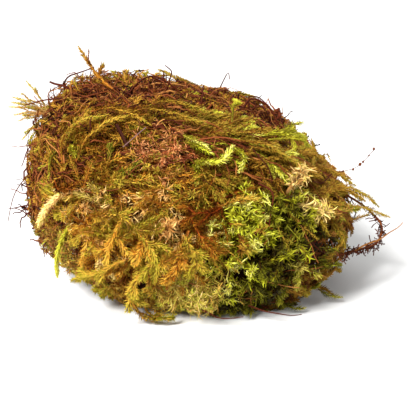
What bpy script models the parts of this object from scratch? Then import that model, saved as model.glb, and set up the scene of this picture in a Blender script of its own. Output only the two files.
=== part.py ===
"""A sphagnum moss clump: one loose handful of living moss, lying as it was lifted.

It is a mat of dead brown stems with living sprays lying over it like shingles. Each spray is a thin
turf with leafy shoots standing out of it. On top lie single fronds, pale heads and woodland litter.

Lengths are in millimetres and angles in degrees until solid_object turns them into metres. The clump
stands on z = 0, is seen from -Y, and its origin is the middle of the flat it lies on.
"""

import math

import bpy
import bmesh
import numpy as np
from mathutils.bvhtree import BVHTree

MM = 0.001

# ---- driving dimensions -------------------------------------------------------------------------
HEART = np.array((-6.0, 2.0, 26.0))  # the point that the mat's radii are measured from
# Radii of the clump's skyline seen from the front, every 22.5 degrees, anticlockwise from +X.
SKYLINE = np.array((60, 53, 49, 46.5, 47, 53, 63, 62, 59, 50, 43, 40, 38, 42, 50, 57), float)
DEPTH_FRONT = 50.0  # how far the clump reaches towards -Y, and towards +Y
DEPTH_BACK = 50.0
ROUNDNESS = 2.3  # 2 is an ellipse in plan, more is squarer
FLEECE = 7.5  # depth of the shoots that stand on the mat
LUMP = 1.3  # how far the mat swells and sinks
MAT_SUNK = 0.9  # the mat's facets lie this far under its smooth surface, clear of the turfs
MAT_ROUGH = 0.85  # and rise and fall this much from one to the next
MAT_DETAIL = 4  # subdivisions of the icosphere that the mat is shaped from

TURF_SEAT = 0.35  # gap under a turf
TURF_RIM = 1.5  # a turf's thickness at its rim, and what its middle adds
TURF_RISE = 2.6
TURF_GAP = 1.0  # half the gap between neighbouring turfs
TURF_REACH = 17.0  # a turf's radius at most
TURF_SIDES = 10  # lobes and notches by turns
TURF_NOTCH = 0.34  # depth of the notches round a turf's rim, as a share of its reach
TURF_WAVE = 0.2  # how far the rim wanders besides
TURF_FLOOR = 2.0  # a turf stops this high over the floor

SHOOT_WIDTH = 1.5  # half the width of a leafy shoot, leaves and all
SHOOT_HEIGHT = 1.2
STALK_RADIUS = 0.62
ROSETTE_REACH = 4.2  # length of a rosette's leaves
ROOT_SUNK = 1.7  # how deep a shoot's root lies in its turf
ROOT_OUT = 0.72  # roots lie within this share of a turf
BARE_FAVOURED = 12  # the dead stems start from this many of the bare stretches
STEMS = 52  # dead stems besides the named ones
SHOOT_ROOM = 1.3  # radius kept free round a leafy shoot, a loose piece and a rosette's stalk
LOOSE_ROOM = 1.2
ROSETTE_ROOM = 3.4

SEAT = 0.3  # gap between a piece and what it lies on
PROBE_STEP = 2.5  # spacing of the points at which that gap is measured
CLEARANCE = 0.35  # least gap between shoots of different nodes
SAMPLE_STEP = 1.0  # spacing of the points at which gaps are measured
FLOOR_GAP = 0.15  # least height of a shoot over the surface that the clump lies on
TRIES = 36  # candidates drawn for each shoot that is wanted
CROWDED = 18.0  # a shoot that would run closer beside its own node's shoots than this is left out


# ---- the mat's shape ----------------------------------------------------------------------------
def skyline_radius(angle):
    """The skyline's radius at an angle in radians, on a closed Catmull-Rom curve."""
    place = (angle % (2 * math.pi)) / (2 * math.pi) * len(SKYLINE)
    start = np.floor(place).astype(int)
    part = place - start
    before, here, after, beyond = (SKYLINE[(start + k) % len(SKYLINE)] for k in (-1, 0, 1, 2))
    return 0.5 * (
        2 * here
        + (after - before) * part
        + (2 * before - 5 * here + 4 * after - beyond) * part**2
        + (3 * here - before - 3 * after + beyond) * part**3
    )


def mat_radius(direction):
    """Distance from HEART to the mat's smooth surface, for unit directions in the last axis."""
    x, y, z = direction[..., 0], direction[..., 1], direction[..., 2]
    outline = skyline_radius(np.arctan2(z, x))
    depth = np.where(y < 0, DEPTH_FRONT, DEPTH_BACK)
    share = (np.hypot(x, z) / outline) ** ROUNDNESS + (np.abs(y) / depth) ** ROUNDNESS
    lumps = np.sin(5.1 * x + 1.0) * np.sin(6.3 * y + 2.0) + np.sin(7.7 * z + 3.0 * x) * 0.6
    return share ** (-1 / ROUNDNESS) - FLEECE + LUMP * lumps


def unit(vectors):
    return vectors / np.maximum(np.linalg.norm(vectors, axis=-1, keepdims=True), 1e-9)


def aim(turn, rise):
    """Unit direction from HEART: turn is degrees round from the front towards +X, rise is degrees up."""
    turn, rise = np.radians(turn), np.radians(rise)
    flat = np.cos(rise)
    return np.stack([np.sin(turn) * flat, -np.cos(turn) * flat, np.sin(rise) + 0 * flat], -1)


def on_mat(direction, height=0.0):
    """The point over the mat in this direction, at a height above its smooth surface."""
    return HEART + direction * (mat_radius(direction) + height)[..., None]


def mat_normal(direction):
    """Outward unit normal of the mat, from its surface a little to each side."""
    side = unit(np.cross(direction, (0.31, 0.17, 0.93)))
    across = np.cross(direction, side)
    nudge = 0.02
    a, b = (on_mat(unit(direction + nudge * s)) - on_mat(unit(direction - nudge * s)) for s in (side, across))
    normal = unit(np.cross(a, b))
    return normal * np.sign((normal * direction).sum(-1, keepdims=True))


# ---- where each spray lies ----------------------------------------------------------------------
# Name: turn, rise, colour, kind of shoot, shoots, their length, heading, spread of the headings.
# A heading of 0 grows uphill, 90 to the right as seen from outside, 180 downhill.
SPRAYS = {
    "crown_olive_spray": (12, 60, "olive", "feather", 12, 30, 85, 35),
    "upper_left_gold_spray": (-42, 45, "gold", "feather", 12, 24, 100, 110),
    "blush_spray": (-16, 41, "blush", "thread", 10, 9, 90, 180),
    "middle_russet_spray": (-27, 30, "russet", "feather", 9, 24, 115, 50),
    "middle_olive_spray": (11, 38, "olive", "feather", 12, 24, 130, 60),
    "left_gold_spray": (-33, 12, "gold", "feather", 10, 22, 200, 50),
    "front_gold_spray": (-10, 15, "gold", "feather", 12, 24, 190, 50),
    "amber_spray": (6, 21, "amber", "feather", 10, 20, 165, 35),
    "bright_rosette_spray": (20, 10, "green", "rosette", 6, 8, 160, 180),
    "deep_rosette_spray": (38, 1, "deep_green", "rosette", 6, 8, 150, 180),
    "upper_right_olive_spray": (49, 33, "olive", "feather", 12, 26, 130, 40),
    "right_olive_spray": (70, 10, "olive", "feather", 12, 24, 120, 60),
    "lower_right_spray": (50, -17, "deep_green", "feather", 10, 18, 140, 60),
    "left_foot_spray": (-21, -13, "olive", "feather", 9, 12, 168, 40),
    "front_foot_spray": (2, -15, "straw", "thread", 10, 17, 180, 60),
    "green_foot_spray": (27, -18, "deep_green", "rosette", 6, 7, 170, 120),
    "left_side_spray": (-64, -3, "olive", "feather", 7, 13, 195, 70),
    "back_left_spray": (-120, 8, "olive", "feather", 6, 24, 180, 90),
    "back_gold_spray": (-160, 22, "gold", "feather", 6, 24, 160, 90),
    "back_right_spray": (155, 10, "olive", "feather", 6, 24, 200, 90),
    "back_crown_spray": (165, 54, "olive", "feather", 6, 24, 180, 120),
    "back_foot_left_spray": (-145, -20, "gold", "thread", 6, 16, 180, 80),
    "back_foot_right_spray": (140, -20, "deep_green", "feather", 6, 18, 180, 80),
    "right_side_spray": (108, -2, "green", "rosette", 6, 8, 180, 180),
}
# Where the brown mat shows: turn and rise of the middle of each bare stretch.
BARE = (
    (-62, 28), (-64, 8), (-75, 55), (-45, 70), (60, 60), (-100, 32), (-100, 5),
    (-130, 50), (110, 45), (120, 22), (-10, 82), (95, -28), (-100, -28),
)
NAMES = list(SPRAYS)
SITES = aim(*np.array([row[:2] for row in SPRAYS.values()] + list(BARE), float).T)


def frame_at(direction):
    """Two unit vectors across a direction: to the right as seen from outside, and uphill."""
    right = unit(np.cross((0.0, 0.0, 1.0), direction))
    return right, np.cross(direction, right)


def turf_edge(index, bearing):
    """How far, in radians, a turf reaches from its middle on each bearing from uphill, clockwise."""
    centre = SITES[index]
    right, uphill = frame_at(centre)
    way = np.sin(bearing)[:, None] * right + np.cos(bearing)[:, None] * uphill
    others = np.delete(SITES, index, axis=0)
    # Along way, the turf ends halfway to another site, at its greatest reach, or at the floor.
    edge = np.arctan2(1 - others @ centre, way @ others.T).min(axis=1)
    radius = mat_radius(centre)
    edge = np.minimum(edge - TURF_GAP / radius, TURF_REACH / radius)
    edge *= 1 - TURF_NOTCH * (0.5 - 0.5 * np.cos(TURF_SIDES / 2 * bearing))
    edge *= 1 - TURF_WAVE * (0.5 + 0.5 * np.sin(3 * bearing + index) * np.cos(2 * bearing + 2 * index))
    share = np.linspace(0, 1, 25)[:, None]
    route = centre * np.cos(edge * share)[..., None] + way * np.sin(edge * share)[..., None]
    standing = (on_mat(route)[..., 2] > TURF_FLOOR).sum(axis=0)
    return edge * np.clip(standing / 25, 0.1, 1)


BEARINGS = np.linspace(0, 2 * math.pi, 73)
EDGES = [turf_edge(index, BEARINGS) for index in range(len(SPRAYS))]


def edge_at(index, bearing):
    return np.interp(bearing % (2 * math.pi), BEARINGS, EDGES[index])


def turf_place(direction):
    """Each direction's nearest site, and how far out it lies on that site's turf: 1 is the rim."""
    index = np.argmax(direction @ SITES.T, axis=-1)
    out = np.full(index.shape, 9.0)
    for one in np.unique(index[index < len(SPRAYS)]):
        here = index == one
        right, uphill = frame_at(SITES[one])
        across, along = direction[here] @ right, direction[here] @ uphill
        away = np.arctan2(np.hypot(across, along), direction[here] @ SITES[one])
        out[here] = away / edge_at(one, np.arctan2(across, along))
    return index, out


def turf_top(out):
    """A turf's height over the mat, this far out."""
    return np.where(out <= 1, TURF_SEAT + TURF_RIM + TURF_RISE * (1 - np.clip(out, 0, 1) ** 2), 0.0)


def on_turf(index, bearing, out):
    """The direction of a place on a turf."""
    right, uphill = frame_at(SITES[index])
    reach = (edge_at(index, bearing) * out)[:, None]
    way = np.sin(bearing)[:, None] * right + np.cos(bearing)[:, None] * uphill
    return SITES[index] * np.cos(reach) + way * np.sin(reach)


# ---- how a shoot grows --------------------------------------------------------------------------
def walk(start, heading, length, steps, bend, wave, droop):
    """Routes over the mat as unit directions (shoots, steps), from a start and a heading each."""
    here = start
    normal = mat_normal(here)
    right = unit(np.cross((0.0, 0.0, 1.0), normal))
    course = np.sin(heading)[:, None] * right + np.cos(heading)[:, None] * np.cross(normal, right)
    route = [here]
    for step in range(1, steps):
        swing = (bend + wave * np.cos(2 * math.pi * step / (steps - 1) + 5 * wave)) / (steps - 1)
        course = course * np.cos(swing)[:, None] + np.cross(normal, course) * np.sin(swing)[:, None]
        course = unit(course - np.array((0.0, 0.0, droop / (steps - 1))))
        here = unit(on_mat(here) + course * (length / (steps - 1))[:, None] - HEART)
        normal = mat_normal(here)
        course = unit(course - (course * normal).sum(-1, keepdims=True) * normal)
        route.append(here)
    return np.stack(route, 1)


def lie_on_floor(points, ups, least):
    """What would sink below the floor is turned outwards and laid flat along it instead."""
    deficit = np.maximum(least - points[..., 2], 0.0)
    settled = points + unit((points - HEART) * (1, 1, 0)) * deficit[..., None] * 0.7
    settled[..., 2] = np.maximum(points[..., 2], least)
    near = np.clip(1.6 - (points[..., 2] - least) / 2, 0, 1)[..., None]
    return settled, unit(ups * (1 - near) + np.array((0.0, 0.0, 1.0)) * near)


def rising(steps, root, middle, tip):
    """Heights along shoots: they leave their roots steeply, run level and lift at their tips."""
    along = np.linspace(0, 1, steps)
    steep = np.clip(along / 0.3, 0, 1)
    lift = (middle - root)[:, None] * steep**2 * (3 - 2 * steep)
    return root[:, None] + lift + (tip - middle)[:, None] * along**3


def curve(knots, steps):
    """Points spaced evenly along a smooth curve through the knots."""
    knots = np.array(knots, float)
    ends = np.concatenate([[2 * knots[0] - knots[1]], knots, [2 * knots[-1] - knots[-2]]])
    part = np.linspace(0, 1, 9)[:, None]
    pieces = [
        0.5
        * (2 * b + (c - a) * part + (2 * a - 5 * b + 4 * c - d) * part**2 + (3 * b - a - 3 * c + d) * part**3)
        for a, b, c, d in zip(ends, ends[1:], ends[2:], ends[3:])
    ]
    fine = np.concatenate(pieces)
    reach = np.concatenate([[0], np.cumsum(np.linalg.norm(np.diff(fine, axis=0), axis=1))])
    at = np.linspace(0, reach[-1], steps)
    return np.stack([np.interp(at, reach, fine[:, k]) for k in range(3)], 1)


# ---- solids as (points, faces) ------------------------------------------------------------------
def strip(points, ups, half_widths, heights):
    """A closed three-sided strip along points: flat below, ridged above, drawn to a point."""
    along = unit(np.gradient(points, axis=0))
    across = unit(np.cross(along, ups))
    ridge = np.cross(across, along)
    left = points + across * half_widths[:, :1] - ridge * heights[:, None] * 0.4
    right = points - across * half_widths[:, 1:] - ridge * heights[:, None] * 0.4
    top = points + ridge * heights[:, None] * 0.6
    rows = np.stack([left, right, top], 1)[:-1]
    corners = np.concatenate([rows.reshape(-1, 3), points[-1:]])
    last, tip = len(rows) - 1, len(corners) - 1
    faces = [(2, 1, 0)]
    for row in range(last):
        for side in range(3):
            a, b = row * 3 + side, row * 3 + (side + 1) % 3
            faces += [(a, b, b + 3), (a, b + 3, a + 3)]
    faces += [(last * 3 + side, last * 3 + (side + 1) % 3, tip) for side in range(3)]
    return corners, faces


def feather(points, ups, width=SHOOT_WIDTH, height=SHOOT_HEIGHT):
    """A leafy shoot: its edges are cut into leaves that stand out left and right by turns."""
    steps = len(points)
    wide = np.full((steps, 2), width)
    wide[0::2, 0] *= 0.42
    wide[1::2, 1] *= 0.42
    along = np.linspace(0, 1, steps)
    taper = np.minimum(1, np.minimum(0.5 + 2 * along, 0.5 + 2 * (1 - along)))
    return strip(points, ups, wide * taper[:, None], height * taper)


def thread(points, ups, radius=STALK_RADIUS):
    """A bare stalk."""
    taper = np.linspace(1.1, 0.75, len(points))
    return strip(points, ups, np.stack([taper, taper], 1) * radius, taper * radius * 1.7)


def star(centre, up, leaves, reach, thick, turn, curl):
    """A closed flat star of pointed leaves round an axis, their tips curled up."""
    first = unit(np.cross(up, (0.2, 0.9, 0.4)))
    second = np.cross(up, first)
    rim = []
    for step in range(2 * leaves):
        angle = turn + math.pi * step / leaves
        far, lift = (reach, curl) if step % 2 else (reach * 0.36, 0.0)
        rim.append(centre + (math.cos(angle) * first + math.sin(angle) * second) * far + up * lift)
    corners = np.array(rim + [centre + up * thick * 0.6, centre - up * thick * 0.4])
    count = 2 * leaves
    faces = []
    for step in range(count):
        after = (step + 1) % count
        faces += [(step, after, count), (after, step, count + 1)]
    return corners, faces


def rosette(centre, up, turn, reach=ROSETTE_REACH):
    """A shoot's tip seen from above: a domed star of leaves."""
    return [star(centre, up, 5, reach, 2.9, turn, 0.7)]


def ball(centre, radius):
    """A small closed lump with eight faces."""
    corners = np.array([(1, 0, 0), (0, 1, 0), (-1, 0, 0), (0, -1, 0), (0, 0, 1), (0, 0, -1)])
    corners = corners * radius + centre
    faces = [(k, (k + 1) % 4, 4) for k in range(4)] + [((k + 1) % 4, k, 5) for k in range(4)]
    return corners, faces


def mat_solid():
    """The brown mat's closed body, cut flat where it lies on the floor."""
    mesh = bmesh.new()
    bmesh.ops.create_icosphere(mesh, subdivisions=MAT_DETAIL, radius=1.0)
    directions = unit(np.array([vert.co for vert in mesh.verts]))
    rough = np.random.default_rng(3).uniform(-MAT_ROUGH, MAT_ROUGH, len(directions))
    for vert, spot in zip(mesh.verts, on_mat(directions, rough - MAT_SUNK)):
        vert.co = spot
    everything = mesh.verts[:] + mesh.edges[:] + mesh.faces[:]
    cut = bmesh.ops.bisect_plane(
        mesh, geom=everything, plane_co=(0, 0, 0), plane_no=(0, 0, 1), clear_inner=True
    )
    rim = [item for item in cut["geom_cut"] if isinstance(item, bmesh.types.BMEdge)]
    bmesh.ops.contextual_create(mesh, geom=rim)
    bmesh.ops.triangulate(mesh, faces=mesh.faces[:])
    mesh.verts.index_update()
    corners = np.array([vert.co for vert in mesh.verts])
    faces = [tuple(vert.index for vert in face.verts) for face in mesh.faces]
    mesh.free()
    return corners, faces


def turf_solid(index, seat):
    """A spray's thin closed turf: a middle and two rings above, and the same below."""
    bearing = np.arange(TURF_SIDES) * 2 * math.pi / TURF_SIDES
    rings = [on_turf(index, bearing, np.full(TURF_SIDES, out)) for out in (1.0, 0.55)]
    over, under = [], []
    for ring, out in zip(rings + [SITES[index][None]], (1.0, 0.55, 0.0)):
        over.append(on_mat(ring, turf_top(np.array(out))))
        under.append(on_mat(ring, seat))
    corners = np.concatenate(over + under)
    sides, faces = TURF_SIDES, []
    low = 2 * sides + 1
    for a in range(sides):
        b = (a + 1) % sides
        top = [(b, a, sides + a), (b, sides + a, sides + b), (sides + b, sides + a, 2 * sides)]
        faces += top + [(low + r, low + q, low + p) for p, q, r in top]
        faces += [(a, b, low + b), (a, low + b, low + a)]
    return corners, faces


# ---- seating ------------------------------------------------------------------------------------
class Ground:
    """The solids that others are seated on."""

    def __init__(self, solids):
        corners, faces = [], []
        for points, sides in solids:
            faces += [tuple(int(k) + len(corners) for k in side) for side in sides]
            corners += [tuple(point) for point in points]
        self.tree = BVHTree.FromPolygons(corners, faces)

    def gap(self, solids):
        """The least distance from these solids to the ground, negative where they sink in."""
        least = 1e3
        for points, sides in solids:
            rounds = points[np.array(sides)]
            longest = np.linalg.norm(rounds - np.roll(rounds, 1, axis=1), axis=-1).max()
            count = int(longest / PROBE_STEP) + 1
            grid = [(i, j, count - i - j) for i in range(count + 1) for j in range(count + 1 - i)]
            spots = np.einsum("gk,fkx->fgx", np.array(grid) / count, rounds).reshape(-1, 3)
            for spot, away in zip(spots, unit(spots - HEART)):
                distance = self.tree.find_nearest(tuple(spot))[3]
                way_out = self.tree.ray_cast(tuple(spot), tuple(away))[1]
                inside = way_out is not None and np.dot(way_out, away) > 0
                least = min(least, -distance if inside else distance)
        return least

    def seat(self, solids, towards):
        """These solids moved along towards until they lie SEAT off the ground, and the move."""
        move = np.zeros(3)
        for _ in range(8):
            slack = self.gap([(points + move, sides) for points, sides in solids]) - SEAT
            move = move + towards * slack * 0.85
        return move


def seated_turf(index, ground):
    """A spray's turf, its underside brought to SEAT off the mat."""
    seat = TURF_SEAT
    for _ in range(5):
        seat -= (ground.gap([turf_solid(index, seat)]) - SEAT) * 0.9
    return turf_solid(index, seat)


# ---- room between nodes -------------------------------------------------------------------------
class Room:
    """The stretches already taken, so that each shoot is kept clear of other nodes' shoots."""

    def __init__(self):
        self.points = np.zeros((0, 3))
        self.radii = np.zeros(0)
        self.owners = np.zeros(0, int)

    @staticmethod
    def samples(points):
        """Points spaced evenly along a path."""
        reach = np.concatenate([[0], np.cumsum(np.linalg.norm(np.diff(points, axis=0), axis=1))])
        at = np.linspace(0, reach[-1], int(reach[-1] / SAMPLE_STEP) + 2)
        return np.stack([np.interp(at, reach, points[:, k]) for k in range(3)], 1)

    def clear(self, points, radius, owner):
        """True if this path keeps its distance from the mat, the turfs and the shoots of other nodes."""
        spots = self.samples(points)
        direction = unit(spots - HEART)
        height = np.linalg.norm(spots - HEART, axis=1) - mat_radius(direction)
        index, out = turf_place(direction)
        turf = out / 1.06 <= 1
        home = ~turf if owner == MAT else turf & (index == owner)
        if np.any(~home & (height < turf_top(out / 1.06) + radius + CLEARANCE)):
            return False
        others = (self.owners != owner) & (np.abs(self.points - spots.mean(0)).max(axis=1) < 45)
        gaps = np.linalg.norm(spots[:, None] - self.points[others][None], axis=2)
        return not np.any(gaps < radius + self.radii[others][None] + CLEARANCE)

    def crowding(self, points, radius, owner):
        """How closely this path runs beside its own node's shoots."""
        mine = self.owners == owner
        if not mine.any():
            return 0.0
        gaps = np.linalg.norm(self.samples(points)[:, None] - self.points[mine][None], axis=2)
        return float(np.maximum(2 * radius - gaps.min(axis=1), 0).sum())

    def take(self, points, radius, owner):
        spots = self.samples(points)
        self.points = np.concatenate([self.points, spots])
        self.radii = np.concatenate([self.radii, np.full(len(spots), radius)])
        self.owners = np.concatenate([self.owners, np.full(len(spots), owner)])


def grow(room, rng, owner, wanted, radius, make_paths):
    """Keeps, for each shoot wanted, the least crowded of the clear candidates that are drawn."""
    kept = []
    for _ in range(wanted):
        paths, ups = make_paths(rng, TRIES)
        ranked = [(room.crowding(path, radius, owner), k) for k, path in enumerate(paths)
                  if room.clear(path, radius, owner)]
        if ranked and min(ranked)[0] < CROWDED:
            best = min(ranked)[1]
            room.take(paths[best], radius, owner)
            kept.append((paths[best], ups[best]))
    return kept


def spray_paths(index, steps, least):
    """A maker of candidate paths for one spray's shoots."""
    turn, rise, colour, kind, count, length, heading, spread = SPRAYS[NAMES[index]]

    def make(rng, tries):
        out = np.sqrt(rng.uniform(0, 1, tries)) * ROOT_OUT
        start = on_turf(index, rng.uniform(0, 2 * math.pi, tries), out)
        course = np.radians(heading + spread * rng.uniform(-1, 1, tries))
        long = length * rng.uniform(0.7, 1.15, tries)
        bend, wave = rng.normal(0, 0.35, tries), rng.normal(0, 0.8, tries)
        route = walk(start, course, long, steps, bend, wave, 0.5)
        root = turf_top(out) - ROOT_SUNK
        heights = rising(steps, root, rng.uniform(4.2, 6.6, tries), rng.uniform(5.5, 9.5, tries))
        points = HEART + route * (mat_radius(route) + heights)[..., None]
        return lie_on_floor(points, mat_normal(route), FLOOR_GAP + least)

    return make


def upright_paths(index, steps):
    """A maker of candidate paths for the short stalks that carry rosettes."""
    length = SPRAYS[NAMES[index]][5]

    def make(rng, tries):
        out = np.sqrt(rng.uniform(0, 1, tries)) * 0.85
        start = on_turf(index, rng.uniform(0, 2 * math.pi, tries), out)
        normal = mat_normal(start)
        lean = unit(normal + rng.normal(0, 0.25, (tries, 3)))
        foot = on_mat(start, turf_top(out) - ROOT_SUNK)
        long = length * rng.uniform(0.6, 1.1, tries)
        lean[:, 2] = np.maximum(lean[:, 2], (ROSETTE_REACH + 1 - foot[:, 2]) / long)
        high = np.linspace(0, 1, steps)[None, :, None] * long[:, None, None]
        return foot[:, None] + lean[:, None] * high, np.repeat(unit(lean)[:, None], steps, 1)

    return make


def stem_paths(steps):
    """A maker of candidate paths for the dead stems that wander over the bare stretches."""

    def make(rng, tries):
        sites = SITES[len(SPRAYS) + rng.integers(0, BARE_FAVOURED, tries)]
        start = unit(sites + rng.normal(0, 0.2, (tries, 3)))
        course = rng.uniform(0, 2 * math.pi, tries)
        long = rng.uniform(12, 26, tries)
        route = walk(start, course, long, steps, rng.normal(0, 0.7, tries), rng.normal(0, 1.0, tries), 0.1)
        low = np.full(tries, -1.5)
        heights = rising(steps, low, rng.uniform(2.0, 6.0, tries), rng.uniform(3.0, 9.0, tries))
        points = HEART + route * (mat_radius(route) + heights)[..., None]
        return lie_on_floor(points, mat_normal(route), FLOOR_GAP + STALK_RADIUS)

    return make


# ---- the pieces that lie loose or stand alone ---------------------------------------------------
# Single stems of a node: the node, its radius, then knots from the node outwards.
FREE_STEMS = {
    "crest_arch": (
        "mat", 0.6,
        (-29, -5, 63.6), (-24.2, -4, 71.8), (-18.6, -3, 75.1), (-12.1, -3, 72.4), (-4.7, -3, 65.6),
    ),
    "left_top_stem": ("mat", 0.7, (-41.6, -2, 60.2), (-46.9, -3, 67), (-53.3, -4, 66.9), (-60.7, -5, 65.3)),
    "left_dark_stub": ("mat", 0.9, (-42.1, 4, 62.4), (-47.6, 4, 69.3), (-53.7, 4, 71.1)),
    "crest_left_stem": ("mat", 0.6, (-48.4, 8, 60.8), (-49, 8, 70.1), (-43.9, 7, 74.2), (-38.5, 6, 75.4)),
    "left_loop": (
        "mat", 0.65,
        (-47.5, -4, 48.9), (-55.9, -6, 46.6), (-62.1, -7, 42.3), (-59.9, -8, 38.1), (-51.3, -9, 35.7),
    ),
    "left_hanging_stem": ("mat", 0.5, (-50.4, 2, 41.5), (-59.9, 0, 40.5), (-65.5, -4, 34), (-68.7, -8, 25)),
    "left_low_fork": ("mat", 0.6, (-48.8, 0, 29.9), (-59.1, -3, 29.5), (-67.4, -6, 28.7)),
    "left_low_prong": ("mat", 0.5, (-61, -3.5, 29.3), (-63.9, -4, 27), (-67.4, -4, 26.1)),
    "right_top_stem": ("mat", 0.7, (11.4, -2, 60.2), (14.6, -3, 67), (20.7, -3, 64.7), (25.6, -3, 58.3)),
    "top_curl": ("mat", 0.5, (2, 6, 60.7), (5.2, 6, 69.9), (7.6, 5, 74.4), (8.1, 4, 72.1)),
    "front_foot_stem": ("mat", 0.6, (9.5, -32, 3.5), (15.8, -38, 2), (22.6, -41, 1.6), (27.2, -40, 1.6)),
    "front_foot_twig": ("mat", 0.6, (0.1, -33, 3.5), (2.8, -39, 2), (7.4, -40.5, 1.6), (11, -39, 2)),
    "right_tendril": ("right_olive_spray", 1.3, (45, -2, 32), (52.6, 0, 31.3), (61.5, 1, 25.7)),
    "right_low_tendril": ("right_olive_spray", 1.2, (45, -3, 26.8), (54.9, -1, 24.9), (64.8, 0, 19.7)),
}


def rooted(turn, rise, height):
    """A knot at a height over the mat, or over the turf if one lies in this direction."""
    direction = aim(turn, rise)
    out = turf_place(direction[None])[1][0]
    return on_mat(direction, height + turf_top(out / 1.06))


def crown_frond():
    """The long golden frond that stands up from the crest, with two side shoots."""
    front = (0.2, -0.9, 0.3)
    main = curve([rooted(-44, 58, 2.2), rooted(-64, 60, 5.0), (-36.2, -3, 75.0), (-42.7, 0, 84.3)], 12)
    fork = curve([main[7], (-35.2, -4.5, 77.5), (-34.0, -5, 79.6)], 5)
    spur = curve([main[9], (-39.2, -3.5, 80.5), (-38.8, -4, 84.7)], 5)
    parts = [feather(main, front, 1.7, 1.3), feather(fork, front, 1.1, 1.0), thread(spur, front, 0.6)]
    return "gold", parts, [main, fork, spur]


def straw_fan():
    """Straw-yellow shoots spreading from one knot on the left shoulder."""
    knot = rooted(-84, 37, 2.4)
    tips = ((-60.6, -2, 73.1), (-65.1, -4, 68), (-66.8, -3, 64.3), (-63.1, -7, 60.5), (-62.6, -5, 53.3))
    paths = []
    for tip in tips:
        tip = np.array(tip, float)
        middle = (knot + tip) / 2 + unit(tip - knot) * 0.5 + np.array((0.0, -0.5, 1.2))
        paths.append(curve([knot - unit(tip - knot) * 0.5, middle, tip], 6))
    return "straw", [ball(knot, 1.9)] + [feather(path, (0.2, -0.9, 0.3), 1.2, 1.1) for path in paths], paths


def lime_frond():
    """A bright frond hanging down the left side."""
    path = curve([rooted(-44, 12, 1.8), rooted(-46, 4, 3.0), rooted(-49, -4, 4.2), rooted(-53, -13, 6.0)], 8)
    return "lime", [feather(path, (-0.5, -0.8, 0.2), 1.7, 1.3)], [path]


def lime_sprig():
    """A bright sprig lying over the top right."""
    path = curve([rooted(45, 45, 1.6), rooted(51, 43, 3.0), rooted(58, 40, 3.6), rooted(67, 36, 5.0)], 7)
    side = curve([path[2], path[2] + (3.0, -1.0, 3.2), path[2] + (6.5, -2.0, 4.0)], 4)
    parts = [feather(path, mat_normal(aim(55, 41)), 1.6, 1.2), feather(side, (0, -0.9, 0.4), 1.0, 1.0)]
    return "lime", parts, [path, side]


def rootlet_loop():
    """The thin brown rootlet that loops out on the right and comes back."""
    loop = curve([rooted(50, -3, 1.2), (43.5, -26.5, 20), (49.3, -21, 19), (55, -16, 18), (59.3, -12, 18.3),
                  (60.9, -9, 22.4), (59.3, -7, 25.3), (54.4, -6, 30.1), rooted(82, 9, 5.2)], 18)
    fork = curve([loop[6], (60, -15, 21.6), (68.2, -10, 25.0)], 6)
    hairs = [curve([loop[k], loop[k] + np.array(way) * 0.6, loop[k] + np.array(way)], 4)
             for k, way in ((6, (1, -1.5, -3.5)), (10, (3.5, -2, -1)), (13, (3.2, -1, 2.2)))]
    up = (0.1, 0.3, 0.95)
    parts = [thread(loop, up, 0.75), thread(fork, up, 0.65)]
    parts += [thread(hair, (0.9, 0.1, 0.4), 0.5) for hair in hairs]
    return "bark", parts, [loop, fork] + hairs


def bead_stalk():
    """A stalk with little round buds along it, standing off the right shoulder."""
    path = curve([rooted(82, 15, 1.2), rooted(82, 17, 6.0), (51.5, -5.2, 43.6), (57.5, -6, 50.4)], 7)
    parts = [thread(path, (0, -1, 0.2), 0.6)]
    parts += [ball(path[k] + (0.2, 0, 0.3), 1.15) for k in (3, 4, 5)] + [ball(path[6], 1.0)]
    return "bark", parts, [path]


def laid_stick(colour, start, end, radius):
    """A straight needle or stalk lying across the clump."""
    path = np.linspace(start, end, 4)
    return colour, [thread(path, unit(np.array(start) - HEART), radius)], [path]


def pale_head(turn, rise, lift, size):
    """A shoot's pale head: a small middle with curled leaves standing out of it all round."""
    centre, up = rooted(turn, rise, lift), mat_normal(aim(turn, rise))
    right, uphill = frame_at(up)
    parts, paths = [ball(centre, size * 0.3)], []
    for step in range(8):
        angle = 2.4 * step
        way = math.cos(angle) * right + math.sin(angle) * uphill
        tilt = 0.15 + 0.1 * step
        knots = [centre, centre + (way * 0.5 + up * tilt * 0.7) * size]
        knots.append(centre + (way + up * tilt * 0.5) * size * 0.95)
        knots.append(centre + (way * 1.05 + up * (tilt * 0.5 - 0.35)) * size)
        path = curve(knots, 4)
        parts.append(strip(path, up, np.full((4, 2), 0.9), np.full(4, 0.9)))
        paths.append(path)
    return "cream", parts, paths


def cream_branch():
    """A pale leafy branch lying over the left of the front."""
    path = curve([rooted(-39, 22, 1.6), rooted(-46, 18, 2.6), rooted(-52, 12, 3.4), rooted(-57, 5, 4.4)], 7)
    return "cream", [feather(path, mat_normal(aim(-50, 14)), 1.9, 1.3)], [path]


LOOSE = {
    "crown_frond": (crown_frond,),
    "straw_fan": (straw_fan,),
    "lime_frond": (lime_frond,),
    "lime_sprig": (lime_sprig,),
    "rootlet_loop": (rootlet_loop,),
    "bead_stalk": (bead_stalk,),
    "needle_stub": (laid_stick, "bark", (-28.1, -29, 65.7), (-24.8, -30, 58.7), 1.0),
    "grass_stalk": (laid_stick, "straw", (-25.9, -36, 60.2), (-18.6, -35, 66.4), 0.6),
    "pale_head_upper_right": (pale_head, 45, 24, 2.2, 5.6),
    "pale_head_right": (pale_head, 53, 8, 2.2, 5.2),
    "pale_head_front": (pale_head, -4, 17, 2.2, 5.6),
    "cream_branch": (cream_branch,),
}
KINDS = ("rosette", "thread", "feather")  # the order in which the kinds of shoot are grown
MAT = 900  # the mat's number as an owner of room; a spray's is its place in SPRAYS
LOOSE_FIRST = 901


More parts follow.
